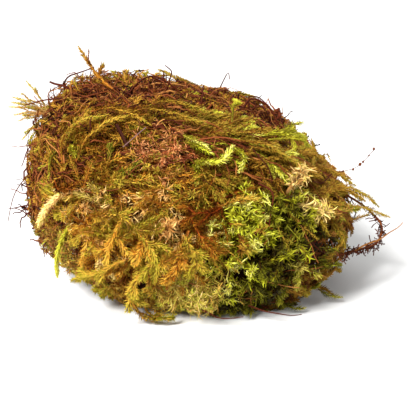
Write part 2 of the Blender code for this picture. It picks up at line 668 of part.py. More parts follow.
# ---- nodes --------------------------------------------------------------------------------------
COLOURS = {
    "brown": (0.13, 0.065, 0.035),
    "bark": (0.16, 0.075, 0.04),
    "olive": (0.24, 0.23, 0.06),
    "gold": (0.42, 0.28, 0.07),
    "amber": (0.42, 0.2, 0.06),
    "russet": (0.27, 0.13, 0.05),
    "blush": (0.45, 0.17, 0.13),
    "green": (0.36, 0.4, 0.08),
    "deep_green": (0.13, 0.18, 0.05),
    "straw": (0.55, 0.45, 0.18),
    "lime": (0.45, 0.52, 0.1),
    "cream": (0.72, 0.6, 0.42),
}


def mesh_object(name, corners, faces):
    """A Blender object from a solid in millimetres."""
    mesh = bpy.data.meshes.new(name)
    mesh.from_pydata((np.asarray(corners) * MM).tolist(), [], [tuple(map(int, face)) for face in faces])
    mesh.update()
    return bpy.data.objects.new(name, mesh)


def keep_largest(mesh):
    """Drops every loose scrap but the largest body."""
    form = bmesh.new()
    form.from_mesh(mesh)
    unseen, bodies = set(form.verts), []
    while unseen:
        body, edge = set(), [unseen.pop()]
        while edge:
            vert = edge.pop()
            body.add(vert)
            near = [link.other_vert(vert) for link in vert.link_edges]
            fresh = [other for other in near if other in unseen]
            unseen.difference_update(fresh)
            edge.extend(fresh)
        bodies.append(body)
    largest = max(bodies, key=len)
    bmesh.ops.delete(form, geom=[vert for vert in form.verts if vert not in largest], context="VERTS")
    form.to_mesh(mesh)
    form.free()


def fuse(name, solids, colour):
    """One closed object out of overlapping solids, with its own material."""
    scene = bpy.context.scene.collection
    objects = [mesh_object(f"{name}_{number}", *solid) for number, solid in enumerate(solids)]
    base, others = objects[0], objects[1:]
    scene.objects.link(base)
    if others:
        group = bpy.data.collections.new(name + "_repeats")
        scene.children.link(group)
        for other in others:
            group.objects.link(other)
        union = base.modifiers.new("union", "BOOLEAN")
        union.operand_type, union.collection = "COLLECTION", group
        union.operation, union.solver = "UNION", "MANIFOLD"
        joined = bpy.data.meshes.new_from_object(base.evaluated_get(bpy.context.evaluated_depsgraph_get()))
        base.modifiers.clear()
        base.data = joined
        for other in others:
            bpy.data.objects.remove(other)
        bpy.data.collections.remove(group)
    keep_largest(base.data)
    base.name = base.data.name = name
    shade = bpy.data.materials.new(name)
    shade.use_nodes = True
    shader = shade.node_tree.nodes["Principled BSDF"]
    shader.inputs["Base Color"].default_value = COLOURS[colour] + (1.0,)
    shader.inputs["Roughness"].default_value = 0.85
    base.data.materials.clear()
    base.data.materials.append(shade)
    return base


def add_loose(room, ground):
    """Seats the single pieces first, so that everything else keeps clear of them."""
    made = {}
    for number, (name, (maker, *sizes)) in enumerate(LOOSE.items()):
        colour, parts, paths = maker(*sizes)
        move = ground.seat(parts, unit(HEART - paths[0][0]))
        for path in paths:
            room.take(path + move, LOOSE_ROOM, LOOSE_FIRST + number)
        made[name] = (colour, [(points + move, faces) for points, faces in parts])
    return made


def add_free_stems(room, node, owner):
    """The named stems of a node."""
    parts = []
    for home, radius, *knots in FREE_STEMS.values():
        if home == node:
            path = curve(knots, 7)
            room.take(path, radius + 0.1, owner)
            shape = feather if radius > 1 else thread
            parts.append(shape(path, (0.15, -0.95, 0.25), radius))
    return parts


def add_spray(room, index, turf):
    """One spray: its turf with all its shoots."""
    turn, rise, colour, kind, count, *_ = SPRAYS[NAMES[index]]
    rng = np.random.default_rng(100 + index)
    parts = [turf]
    if kind == "rosette":
        for path, ups in grow(room, rng, index, count, ROSETTE_ROOM, upright_paths(index, 3)):
            parts.append(thread(path, (0.3, 0.8, 0.5), 0.8))
            parts += rosette(path[-1] - ups[-1] * 0.6, ups[-1], rng.uniform(0, 1))
    elif kind == "thread":
        make_paths = spray_paths(index, 6, STALK_RADIUS)
        for path, ups in grow(room, rng, index, count, STALK_RADIUS + 0.3, make_paths):
            parts.append(thread(path, ups, 0.8))
    else:
        for path, ups in grow(room, rng, index, count, SHOOT_ROOM, spray_paths(index, 7, SHOOT_HEIGHT / 2)):
            parts.append(feather(path, ups))
    return colour, parts


def turn_to_grow(index):
    """The sprays with the least room grow first."""
    return KINDS.index(SPRAYS[NAMES[index]][3]), EDGES[index].mean()


def build():
    for item in list(bpy.data.objects):
        bpy.data.objects.remove(item, do_unlink=True)
    mat = mat_solid()
    turfs = [seated_turf(index, Ground([mat])) for index in range(len(SPRAYS))]
    room = Room()
    nodes = add_loose(room, Ground([mat] + turfs))
    mat_parts = [mat] + add_free_stems(room, "mat", MAT)
    tendrils = {name: add_free_stems(room, name, index) for index, name in enumerate(NAMES)}
    for index in sorted(range(len(SPRAYS)), key=turn_to_grow):
        colour, parts = add_spray(room, index, turfs[index])
        nodes[NAMES[index]] = (colour, parts + tendrils[NAMES[index]])
    rng = np.random.default_rng(7)
    for path, ups in grow(room, rng, MAT, STEMS, STALK_RADIUS, stem_paths(5)):
        mat_parts.append(thread(path, ups))
    nodes["dead_stem_mat"] = ("brown", mat_parts)
    for name, (colour, parts) in nodes.items():
        fuse(name, parts, colour)


build()
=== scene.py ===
"""Dresses the sphagnum moss clump: fine leafy shoots, rosettes, pale heads and dead stems.

Growth is worked out in millimetres from the middle of the flat that the clump lies on, with -Y
towards the viewer, and turned into metres when a mesh is made. Knots are what a shoot grows
through: a tuple is a knot's turn, rise and height over the mat, and a list its x, y and z.
"""

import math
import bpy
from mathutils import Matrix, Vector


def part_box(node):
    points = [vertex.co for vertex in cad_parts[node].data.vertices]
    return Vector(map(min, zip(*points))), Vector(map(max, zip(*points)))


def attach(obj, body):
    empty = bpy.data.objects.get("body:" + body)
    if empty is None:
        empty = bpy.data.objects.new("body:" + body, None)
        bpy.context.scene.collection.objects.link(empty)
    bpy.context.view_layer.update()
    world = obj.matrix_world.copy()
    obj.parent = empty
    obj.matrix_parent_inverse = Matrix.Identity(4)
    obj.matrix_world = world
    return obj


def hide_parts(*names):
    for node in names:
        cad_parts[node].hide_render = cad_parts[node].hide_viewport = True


bl_info = {
    "name": "Sphagnum Moss Clump",
    "version": (1, 0, 0),
    "blender": (4, 5, 0),
    "location": "View3D > Sidebar > Moss",
    "description": "Grows fine moss over the solids of a sphagnum moss clump",
    "category": "Object",
}

from collections import namedtuple

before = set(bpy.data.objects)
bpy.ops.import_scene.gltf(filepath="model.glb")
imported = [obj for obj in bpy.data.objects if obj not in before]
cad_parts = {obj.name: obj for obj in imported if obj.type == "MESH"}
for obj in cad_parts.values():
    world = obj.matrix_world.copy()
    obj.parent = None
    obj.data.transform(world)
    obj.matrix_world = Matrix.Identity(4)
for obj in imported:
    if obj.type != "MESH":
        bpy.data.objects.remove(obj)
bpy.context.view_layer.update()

import bpy
import numpy as np
from bpy.props import FloatProperty, FloatVectorProperty, IntProperty, PointerProperty
from bpy.types import Operator, Panel, PropertyGroup

MM = 0.001
FULL_TURN = 2 * math.pi
UP = np.array((0.0, 0.0, 1.0))

# ---- the clump's shape ----
# HEART is where every direction starts. SKYLINE is the outline's radii from the front, from +X
# through up, and DEPTH half the depth. At ROUNDNESS 2 a section is an ellipse, and above it boxier.
# The growth is FLEECE deep over the mat of dead stems, whose lumps are LUMP high.
HEART = np.array((-6.0, 2.0, 26.0))
SKYLINE = np.array((60, 53, 49, 46.5, 47, 53, 63, 62, 59, 50, 43, 40, 38, 42, 50, 57), float)
DEPTH = 50.0
ROUNDNESS = 2.3
FLEECE = 7.5
LUMP = 1.3
# The lowest that a curled head's middle may be.
LOWEST_HEAD = 2.5


def unit(vectors):
    return vectors / np.maximum(np.linalg.norm(vectors, axis=-1, keepdims=True), 1e-9)


def turned(way, towards, angle):
    """A unit vector turned through an angle towards another one across it."""
    return way * np.cos(angle) + towards * np.sin(angle)


def catmull_rom(before, here, after, beyond, part):
    """The smooth curve from here to after, at a part of the way."""
    return 0.5 * (
        2 * here
        + (after - before) * part
        + (2 * before - 5 * here + 4 * after - beyond) * part**2
        + (3 * here - before - 3 * after + beyond) * part**3
    )


def skyline_radius(angle):
    """The skyline's radius at an angle in radians."""
    place = (angle % FULL_TURN) / FULL_TURN * len(SKYLINE)
    start = np.floor(place).astype(int)
    return catmull_rom(*(SKYLINE[(start + k) % len(SKYLINE)] for k in (-1, 0, 1, 2)), place - start)


def mat_radius(direction):
    """Distance from HEART to the dead mat, for unit directions."""
    x, y, z = direction[..., 0], direction[..., 1], direction[..., 2]
    outline = skyline_radius(np.arctan2(z, x))
    share = (np.hypot(x, z) / outline) ** ROUNDNESS + (np.abs(y) / DEPTH) ** ROUNDNESS
    lumps = np.sin(5.1 * x + 1.0) * np.sin(6.3 * y + 2.0) + np.sin(7.7 * z + 3.0 * x) * 0.6
    return share ** (-1 / ROUNDNESS) - FLEECE + LUMP * lumps


def pointing(turn, rise):
    """Unit direction: turn goes from the front towards +X, and rise up, in radians."""
    flat = np.cos(rise) + 0 * turn
    return np.stack([np.sin(turn) * flat, -np.cos(turn) * flat, np.sin(rise) + 0 * flat], -1)


def aim(turn, rise):
    """Unit direction from a turn and a rise in degrees."""
    return pointing(np.radians(turn), np.radians(rise))


def on_mat(direction, height=0.0):
    """The point over the mat in this direction, at a height above it."""
    return HEART + direction * (mat_radius(direction) + height)[..., None]


def knot_point(knot):
    """The point of one knot."""
    return on_mat(aim(*knot[:2]), knot[2]) if isinstance(knot, tuple) else np.array(knot, float)


def mat_normal(direction, reach=0.02):
    """Outward unit normal of the mat."""
    side = unit(np.cross(direction, (0.31, 0.17, 0.93)))
    across, along = (
        on_mat(unit(direction + reach * way)) - on_mat(unit(direction - reach * way))
        for way in (side, np.cross(direction, side))
    )
    normal = unit(np.cross(across, along))
    return normal * np.sign((normal * direction).sum(-1, keepdims=True))


def walk(start, heading, length, steps, bend, wave, droop):
    """Routes over the mat as unit directions (shoots, steps), from a start and a heading each."""
    here = start
    normal = mat_normal(here)
    right = unit(np.cross(UP, normal))
    course = turned(np.cross(normal, right), right, heading[:, None])
    route = [here]
    for step in range(1, steps):
        swing = (bend + wave * np.cos(FULL_TURN * step / (steps - 1) + 5 * wave)) / (steps - 1)
        course = turned(course, np.cross(normal, course), swing[:, None])
        course = unit(course - UP * (droop / (steps - 1))[:, None])
        here = unit(on_mat(here) + course * (length / (steps - 1))[:, None] - HEART)
        normal = mat_normal(here)
        course = unit(course - (course * normal).sum(-1, keepdims=True) * normal)
        route.append(here)
    return np.stack(route, 1)


def lie_on_floor(points, least=0.5, slide=0.15, most=7):
    """What would sink below the floor is turned outwards along it instead."""
    deficit = np.maximum(least - points[..., 2], 0.0)
    settled = points + unit((points - HEART) * (1, 1, 0)) * (np.minimum(deficit, most) * slide)[..., None]
    settled[..., 2] = np.maximum(points[..., 2], least)
    return settled


def curve(knots, steps):
    """Points spaced evenly along a smooth curve through the knots' points."""
    knots = np.array(knots, float)
    ends = np.concatenate([[2 * knots[0] - knots[1]], knots, [2 * knots[-1] - knots[-2]]])
    part = np.linspace(0, 1, 9)[:, None]
    fine_path = np.concatenate([catmull_rom(*four, part) for four in zip(ends, ends[1:], ends[2:], ends[3:])])
    reach = np.concatenate([[0], np.cumsum(np.linalg.norm(np.diff(fine_path, axis=0), axis=-1))])
    spread = np.linspace(0, 1, steps) * reach[-1]
    return np.stack([np.interp(spread, reach, fine_path[:, axis]) for axis in range(3)], -1)


# ---- meshes ----
# A tuft is (corners, quads, uvs): uvs hold a tint across u and, up v, the place along a shoot.
# Leaves use v from 0 to 0.5, stems from 0.5 to 1. Each corner across a strip is TINT_WIDTH on.
TINT_WIDTH = 0.003
LEAF_PLACES = (0.03, 0.21, 0.48, 0.21)
BLADE_ENDS = (0.02, 0.46)
STEM_ENDS = (0.56, 0.96)
TUBE_QUADS = ((0, 1, 4, 3), (1, 2, 5, 4), (2, 0, 3, 5))
# Half widths of a curling leaf from base to tip, as a share of its widest.
LEAF_STEPS = 8
LEAF_PROFILE = np.interp(np.linspace(0, 1, LEAF_STEPS), (0, 0.2, 0.6, 1), (0.6, 1.0, 0.8, 0.06))


def tint_u(tints):
    """Place across u of each tint: 0 to 1 runs through the first palette, 2 to 3 the second."""
    second = tints >= 1.5
    return 0.5 * second + 0.02 + 0.45 * np.clip(tints - 2 * second, 0, 1)


def tuft(corners, quads, tint, place):
    """Gathers one kind of strip, with tint and place spread over its corners."""
    uvs = [np.broadcast_to(values, corners.shape[:-1]).ravel() for values in (tint, place)]
    return corners.reshape(-1, 3), quads.reshape(-1, 4), np.stack(uvs, 1)


def swept(edges, quads, ends, tints):
    """A tuft of strips between edges (shoots, steps, 3); quads name the corners of one step."""
    corners = np.stack(edges, 2)
    count, steps, across = corners.shape[:3]
    first = (np.arange(count * steps).reshape(count, steps)[:, :-1] * across).reshape(-1, 1)
    tint = tint_u(np.broadcast_to(tints, count))[:, None, None] + np.arange(across) * TINT_WIDTH
    place = np.linspace(*ends, steps)[:, None]
    return tuft(corners, np.concatenate([first + quad for quad in quads]), tint, place)


def stalks(paths, ups, radii, tints):
    """Three-sided tubes along paths (stalks, steps, 3)."""
    way = unit(np.gradient(paths, axis=1))
    side = unit(np.cross(way, ups))
    over = np.cross(side, way)
    radii = np.broadcast_to(radii, paths.shape[:2])[..., None]
    edges = [paths + turned(side, over, FULL_TURN * k / 3) * radii for k in range(3)]
    return swept(edges, TUBE_QUADS, STEM_ENDS, tints)


def blades(paths, ups, widths, tints):
    """Flat strips along paths (blades, steps, 3), with a half width at each step."""
    side = unit(np.cross(np.gradient(paths, axis=1), ups)) * widths[..., None]
    return swept([paths + side, paths - side], [(0, 1, 3, 2)], BLADE_ENDS, tints)


def leaves(bases, ways, outs, lengths, widths, tints):
    """Pointed leaves, each folded a little along its middle; v runs from base to tip."""
    side = unit(np.cross(ways, outs))
    lift = np.cross(side, ways)
    long, wide = lengths[:, None], widths[:, None]
    belly = bases + ways * long * 0.4 + lift * wide * 0.5
    tips = bases + ways * long + lift * long * 0.12
    corners = np.stack([bases, belly - side * wide, tips, belly + side * wide], 1)
    tint = tint_u(tints)[:, None] + np.array((0, TINT_WIDTH, 0, -TINT_WIDTH)) * 0.5
    return tuft(corners, np.arange(len(bases) * 4), tint, LEAF_PLACES)


# How fine a shoot is, in millimetres and degrees: the leaves stand in rows round a fan of its stem,
# and open is the share of the fan left free on top, where the stem shows.
Size = namedtuple("Size", "leaf width spacing spread stem rows fan open")


def leafy(rng, paths, ups, tints, size):
    """Leafy shoots: a thin stem and rows of small leaves from flank to flank, fresher to the tip."""
    count, steps = paths.shape[:2]
    tints = np.broadcast_to(tints, count)
    lengths = np.linalg.norm(np.diff(paths, axis=1), axis=-1).sum(1)
    nodes = max(6, int(lengths.mean() / size.spacing))
    each = (count, nodes)
    place = np.linspace(0.02, 0.99, nodes) * (steps - 1)
    low = np.minimum(place.astype(int), steps - 2)
    part = (place - low)[None, :, None]
    spots = paths[:, low] * (1 - part) + paths[:, low + 1] * part
    way = unit(paths[:, low + 1] - paths[:, low])
    side = unit(np.cross(way, ups[:, low]))
    over = np.cross(side, way)
    taper = np.clip(np.minimum(0.55 + 2.5 * place / steps, 0.45 + 3.0 * (1 - place / (steps - 1))), 0, 1)
    made = []
    for row in range(size.rows):
        level = (row + 0.5 * (np.arange(nodes) % 2)) / (size.rows - 0.5) - 0.5
        level = np.sign(level) * (size.open / 2 + np.abs(level) * (1 - size.open))
        angle = math.pi / 2 + math.radians(size.fan) * level + rng.normal(0, 0.25, each)
        out = turned(side, over, angle[..., None])
        flank = np.abs(np.cos(angle))
        spread = np.radians(size.spread * (0.6 + 0.5 * flank) + rng.normal(0, 8, each))
        leaf_way = turned(way, out, spread[..., None])
        long = size.leaf * taper * (0.75 + 0.35 * flank) * rng.uniform(0.75, 1.25, each)
        wide = size.leaf * size.width * rng.uniform(0.8, 1.2, each) * taper
        tint = tints[:, None] + np.linspace(-0.2, 0.2, nodes) + rng.normal(0, 0.15, each)
        points = (value.reshape(-1, 3) for value in (spots, leaf_way, out))
        made.append(leaves(*points, long.ravel(), wide.ravel(), tint.ravel()))
    made.append(stalks(paths, ups, np.linspace(1.0, 0.35, steps) * size.stem, tints))
    return made


def ball(rows, around, first=0.0):
    """Directions over a closed round form, its quads, and its places along the stems' colours."""
    rise = np.linspace(-math.pi / 2, math.pi / 2, rows)[:, None]
    turn = first + np.linspace(0, FULL_TURN, around, endpoint=False)[None]
    corner = np.arange(rows * around).reshape(rows, around)
    after = np.roll(corner, -1, axis=1)
    quads = np.stack([corner[:-1], after[:-1], after[1:], corner[1:]], -1)
    return pointing(turn, rise), quads, 0.6 + 0.3 * np.arange(rows)[:, None] / rows


def bud(centre, radius, tint):
    """A small round bud of closed leaves."""
    way, quads, place = ball(7, 8, math.pi / 2)
    tint = tint * 0.45 + 0.01 * np.arange(8)
    return tuft(centre + radius * (way * (1, 1, 1.2)), quads, tint, place)


def core(depth=2.2, lumps=0.9, hollow=3.0):
    """The dark heart of the tangle, lumpy and closed, under the mat and deeper where growth is thin; its dark
    brown is partly the dead stems' own and partly painted shade in the gaps.
    """
    way, quads, place = ball(40, 80)
    bumps = np.sin(23 * way[..., 0] + 3) * np.sin(19 * way[..., 1]) * np.sin(21 * way[..., 2] + 1)
    points = on_mat(way, -depth + lumps * bumps - hollow * (1 - fleece(way)))
    points[..., 2] = np.maximum(points[..., 2], 0.6)
    return tuft(points, quads, 0.02 + 0.05 * (bumps + 1) / 2, place)


def mesh_piece(name, tufts, material, node, low=0.3):
    """One Blender object out of tufts, standing for a CAD node; what is low is eased to the floor."""
    points, faces, places = zip(*tufts)
    starts = np.cumsum([0, *map(len, points[:-1])])
    quads = np.concatenate([quad + start for quad, start in zip(faces, starts)])
    corners, uvs = np.concatenate(points), np.concatenate(places)
    z = corners[:, 2]
    corners[:, 2] = np.where(z < low, 0.1 + 0.2 * np.exp(np.minimum(z - low, 0)), z)
    mesh = bpy.data.meshes.new(name)
    mesh.vertices.add(len(corners))
    mesh.vertices.foreach_set("co", (corners * MM).astype(np.float32).ravel())
    mesh.loops.add(quads.size)
    mesh.loops.foreach_set("vertex_index", quads.astype(np.int32).ravel())
    mesh.polygons.add(len(quads))
    mesh.polygons.foreach_set("loop_start", np.arange(0, quads.size, 4, dtype=np.int32))
    mesh.update(calc_edges=True)
    layer = mesh.uv_layers.new(name="OFBake")
    layer.data.foreach_set("uv", uvs[quads.ravel()].astype(np.float32).ravel())
    mesh.materials.append(material)
    piece = bpy.data.objects.new(name, mesh)
    bpy.context.scene.collection.objects.link(piece)
    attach(piece, "root")
    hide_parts(node)
    return piece


# ---- materials ----
# Painted light along a leaf: painted shade at its base, deep in the growth, up to a painted highlight at its
# pale tip.
LEAF_PAINTED_LIGHT = ((0.22, 0.13, 0.07), (0.74, 0.64, 0.46), (1.15, 1.1, 0.92), (2.0, 1.9, 1.6))


def ramp_node(nodes, first, second=()):
    """A colour ramp: the first colours in its lower half and the second ones in its upper half."""
    ramp = nodes.new("ShaderNodeValToRGB")
    places = np.linspace(0, 1, len(first))
    if second:
        places = np.concatenate([0.02 + 0.46 * places, 0.52 + 0.46 * np.linspace(0, 1, len(second))])
    stops = ramp.color_ramp.elements
    while len(stops) < len(places):
        stops.new(0.5)
    for stop, place in zip(stops, places):
        stop.position = place
    for stop, colour in zip(stops, (*first, *second)):
        stop.color = (*colour, 1.0)
    return ramp


def moss_material(name, first, second, roughness):
    """Tints run across u; up v a leaf goes from painted shade at its base to a painted highlight at its tip,
    then come the stems.
    """
    material = bpy.data.materials.new(name)
    material.use_nodes = True
    nodes, links = material.node_tree.nodes, material.node_tree.links
    shader = nodes["Principled BSDF"]
    place = nodes.new("ShaderNodeUVMap")
    place.uv_map = "OFBake"
    split = nodes.new("ShaderNodeSeparateXYZ")
    leaf, stem = (ramp_node(nodes, *both) for both in zip(first, second))
    shade = ramp_node(nodes, LEAF_PAINTED_LIGHT)
    # Where a leaf's place from base to tip falls on the painted shade and highlight.
    painted_light_place = nodes.new("ShaderNodeMapRange")
    painted_light_place.inputs["From Max"].default_value = 0.5
    shaded = nodes.new("ShaderNodeMix")
    shaded.data_type, shaded.blend_type = "RGBA", "MULTIPLY"
    shaded.inputs["Factor"].default_value = 1.0
    is_stem = nodes.new("ShaderNodeMath")
    is_stem.operation = "GREATER_THAN"
    is_stem.inputs[1].default_value = 0.53
    colour = nodes.new("ShaderNodeMix")
    colour.data_type = "RGBA"
    for source, output, target, socket in (
        (place, "UV", split, 0),
        (split, "X", leaf, "Fac"),
        (split, "X", stem, "Fac"),
        (split, "Y", painted_light_place, "Value"),
        (painted_light_place, "Result", shade, "Fac"),
        (leaf, "Color", shaded, "A"),
        (shade, "Color", shaded, "B"),
        (split, "Y", is_stem, 0),
        (is_stem, "Value", colour, "Factor"),
        (shaded, "Result", colour, "A"),
        (stem, "Color", colour, "B"),
        (colour, "Result", shader, "Base Color"),
    ):
        links.new(source.outputs[output], target.inputs[socket])
    shader.inputs["Roughness"].default_value = roughness
    shader.inputs["Specular IOR Level"].default_value = 0.1
    return material


# Palette: leaf tints from the oldest to the freshest, then stem tints; the older, darker ones also give
# painted shade to shoots and stems that lie low in the growth. MAIN_TINT is the one that a user may change.
TINTS = {
    "olive": (("46220a", "684010", "7e5a1a", "8e6e24", "947a2a", "80761e"), ("6c2a0c", "824a18", "8c601e")),
    "gold_olive": (("42200a", "7c5018", "a07428", "ac8630", "a28a30", "82801e"),
                   ("7c360e", "9a581c", "a06c24")),
    "gold": (("3e1a06", "8a5014", "b47c26", "c09438", "b49838", "948a26"), ("8a4412", "9e5e1e", "a87830")),
    "amber": (("341003", "5e2806", "7c440c", "946218", "8a6c1c", "70641a"), ("6e2606", "94400c", "925414")),
    "russet": (("401806", "6a3814", "8c5824", "9a7036", "847226", "666c16"), ("66220a", "843a1a", "90562a")),
    "blush": (("8e3e18", "b05e34", "c47c52", "cc9068", "be8a4a", "a07e2e"), ("983e1a", "b05a2e", "b8764a")),
    "green": (("60580e", "828018", "a0a420", "b2b82c", "c2c644", "d6d480"), ("6a480f", "866e1c", "8e8426")),
    "deep_green": (("241c04", "3a3208", "504e0c", "6c6e14", "8a8626", "b0a450"),
                   ("34190a", "503610", "624c18")),
    "straw": (("885626", "a67a34", "ba9444", "c4aa52", "b4ac46", "a4a834"), ("8a4c20", "a67236", "b08a40")),
    "lime": (("645c12", "80781a", "9a9822", "b0ae34", "bcbc48", "c8ca66"), ("746018", "8c8222", "9a922e")),
    "cream": (("a46c38", "c08e50", "d2ac6e", "dec48a", "d6c274", "bcb450"), ("a05c2c", "bc844a", "c4a25c")),
    "bark": (("301206", "481e0e", "642e16", "7e4620", "8e5828", "98702e"),
             ("301208", "502210", "78401e", "a4702f")),
    "stalk": (("6a4a44", "82605a", "947670", "a08680", "ac968c", "b8a698"), ("6a4a44", "846460", "a08680")),
    "brown": (("341406", "54260f", "723a1a", "8c5228", "986a32", "80681e"),
              ("260e05", "521f0c", "824420", "ac7438")),
}
MAIN_TINT = 3


def srgb(code):
    """A hex colour as linear red, green and blue."""
    parts = [int(code[k : k + 2], 16) / 255 for k in (0, 2, 4)]
    return tuple(p / 12.92 if p <= 0.04045 else ((p + 0.055) / 1.055) ** 2.4 for p in parts)


def tints_of(key):
    """A palette's leaf and stem tints, shifted with the user's colour for it."""
    usual, chosen = srgb(TINTS[key][0][MAIN_TINT]), getattr(bpy.context.scene.moss_colours, key)
    shift = [a / max(b, 1e-4) for a, b in zip(chosen, usual)]
    return [
        [tuple(min(a * b, 1) for a, b in zip(srgb(code), shift)) for code in codes] for codes in TINTS[key]
    ]


def palette(name, second=None, roughness=0.6):
    """The material of two palettes, made the first time it is asked for."""
    title = f"{name}_and_{second}" if second else name + "_leaves"
    made = bpy.data.materials.get(title)
    return made or moss_material(title, tints_of(name), tints_of(second or name), roughness)


# ---- where each spray grows ----
# A spray's name is its node's without _spray. Heading 0 grows uphill, 90 to the right as seen from
# outside, 180 downhill. The share is of shoots in the other palette.
Spray = namedtuple("Spray", "turn rise main other share kind shoots length heading spread")
SPRAYS = {
    "crown_olive": (12, 60, "olive", "lime", 0.07, "feather", 46, 25, 88, 20),
    "upper_left_gold": (-42, 45, "gold_olive", "lime", 0.05, "feather", 34, 18, 80, 80),
    "blush": (-16, 42, "blush", "olive", 0.15, "curly", 64, 9, 90, 180),
    "middle_russet": (-27, 30, "russet", "gold", 0.5, "feather", 40, 20, 75, 40),
    "middle_olive": (11, 38, "olive", "green", 0.3, "feather", 36, 18, 125, 60),
    "left_gold": (-31, 12, "gold", "cream", 0.1, "frond", 40, 21, 205, 120),
    "front_gold": (-10, 15, "gold", "cream", 0.1, "frond", 40, 21, 190, 120),
    "amber": (8, 20, "amber", "gold_olive", 0.08, "frond", 26, 17, 150, 90),
    "bright_rosette": (19, 8, "green", "gold_olive", 0.2, "rosette", 66, 9, 160, 180),
    "deep_rosette": (38, 1, "deep_green", "green", 0.4, "rosette", 58, 9, 150, 180),
    "upper_right_olive": (49, 33, "olive", "lime", 0.1, "feather", 42, 25, 122, 20),
    "right_olive": (70, 10, "olive", "russet", 0.6, "feather", 46, 20, 112, 70),
    "lower_right": (50, -17, "deep_green", "olive", 0.65, "feather", 36, 14, 120, 60),
    "left_foot": (-21, -13, "gold_olive", "straw", 0.4, "frond", 28, 13, 175, 80),
    "front_foot": (3, -15, "straw", "cream", 0.08, "curly", 74, 16, 180, 80),
    "green_foot": (27, -18, "deep_green", "green", 0.2, "rosette", 38, 8, 170, 120),
    "left_side": (-62, 0, "russet", "straw", 0.2, "curly", 90, 13, 195, 120),
    "back_left": (-120, 8, "olive", "russet", 0.3, "feather", 42, 22, 180, 90),
    "back_gold": (-160, 22, "gold", "olive", 0.3, "feather", 42, 22, 160, 90),
    "back_right": (155, 10, "olive", "gold_olive", 0.3, "feather", 42, 22, 200, 90),
    "back_crown": (172, 52, "olive", "russet", 0.3, "feather", 46, 22, 180, 120),
    "back_foot_left": (-145, -20, "gold", "straw", 0.3, "curly", 44, 14, 180, 80),
    "back_foot_right": (140, -20, "deep_green", "olive", 0.4, "feather", 28, 16, 180, 80),
    "right_side": (108, -2, "olive", "deep_green", 0.4, "feather", 32, 17, 150, 60),
}
SPRAYS = {name: Spray(*row) for name, row in SPRAYS.items()}
# Where the tangle shows: turn, rise, bare stems and thin leafy shoots.
BARE = (
    (-62, 28, 110, 70), (-64, 8, 100, 66), (-75, 55, 110, 36), (-45, 70, 120, 30), (66, 62, 190, 26),
    (-100, 32, 80, 34), (-100, 5, 80, 34), (-135, 46, 130, 58), (110, 45, 80, 34), (120, 22, 80, 34),
    (-10, 82, 110, 24), (95, -28, 60, 14), (-100, -28, 60, 14),
)
# Where bare stems stand out of the clump: turn, rise and how many.
STRAYS = (
    (-66, 26, 10), (-72, 52, 16), (-50, 70, 14), (76, 60, 14), (-92, 8, 18), (-90, 34, 18), (-86, 60, 12),
    (100, 40, 8), (-150, 50, 12), (-60, -16, 4),
)
# Where bare stems cross over the leafy growth: turn, rise, how many and their heading.
CROSSING = ((-42, 27, 34, 70), (-60, 4, 26, 50), (-22, 32, 14, 75), (-30, 52, 14, 90), (14, 48, 30, 105),
            (34, 48, 20, 115), (-8, 58, 16, 95), (8, 22, 8, 110), (66, 10, 18, 120))
SITES = aim(*np.array([row[:2] for row in (*SPRAYS.values(), *BARE)], float).T)
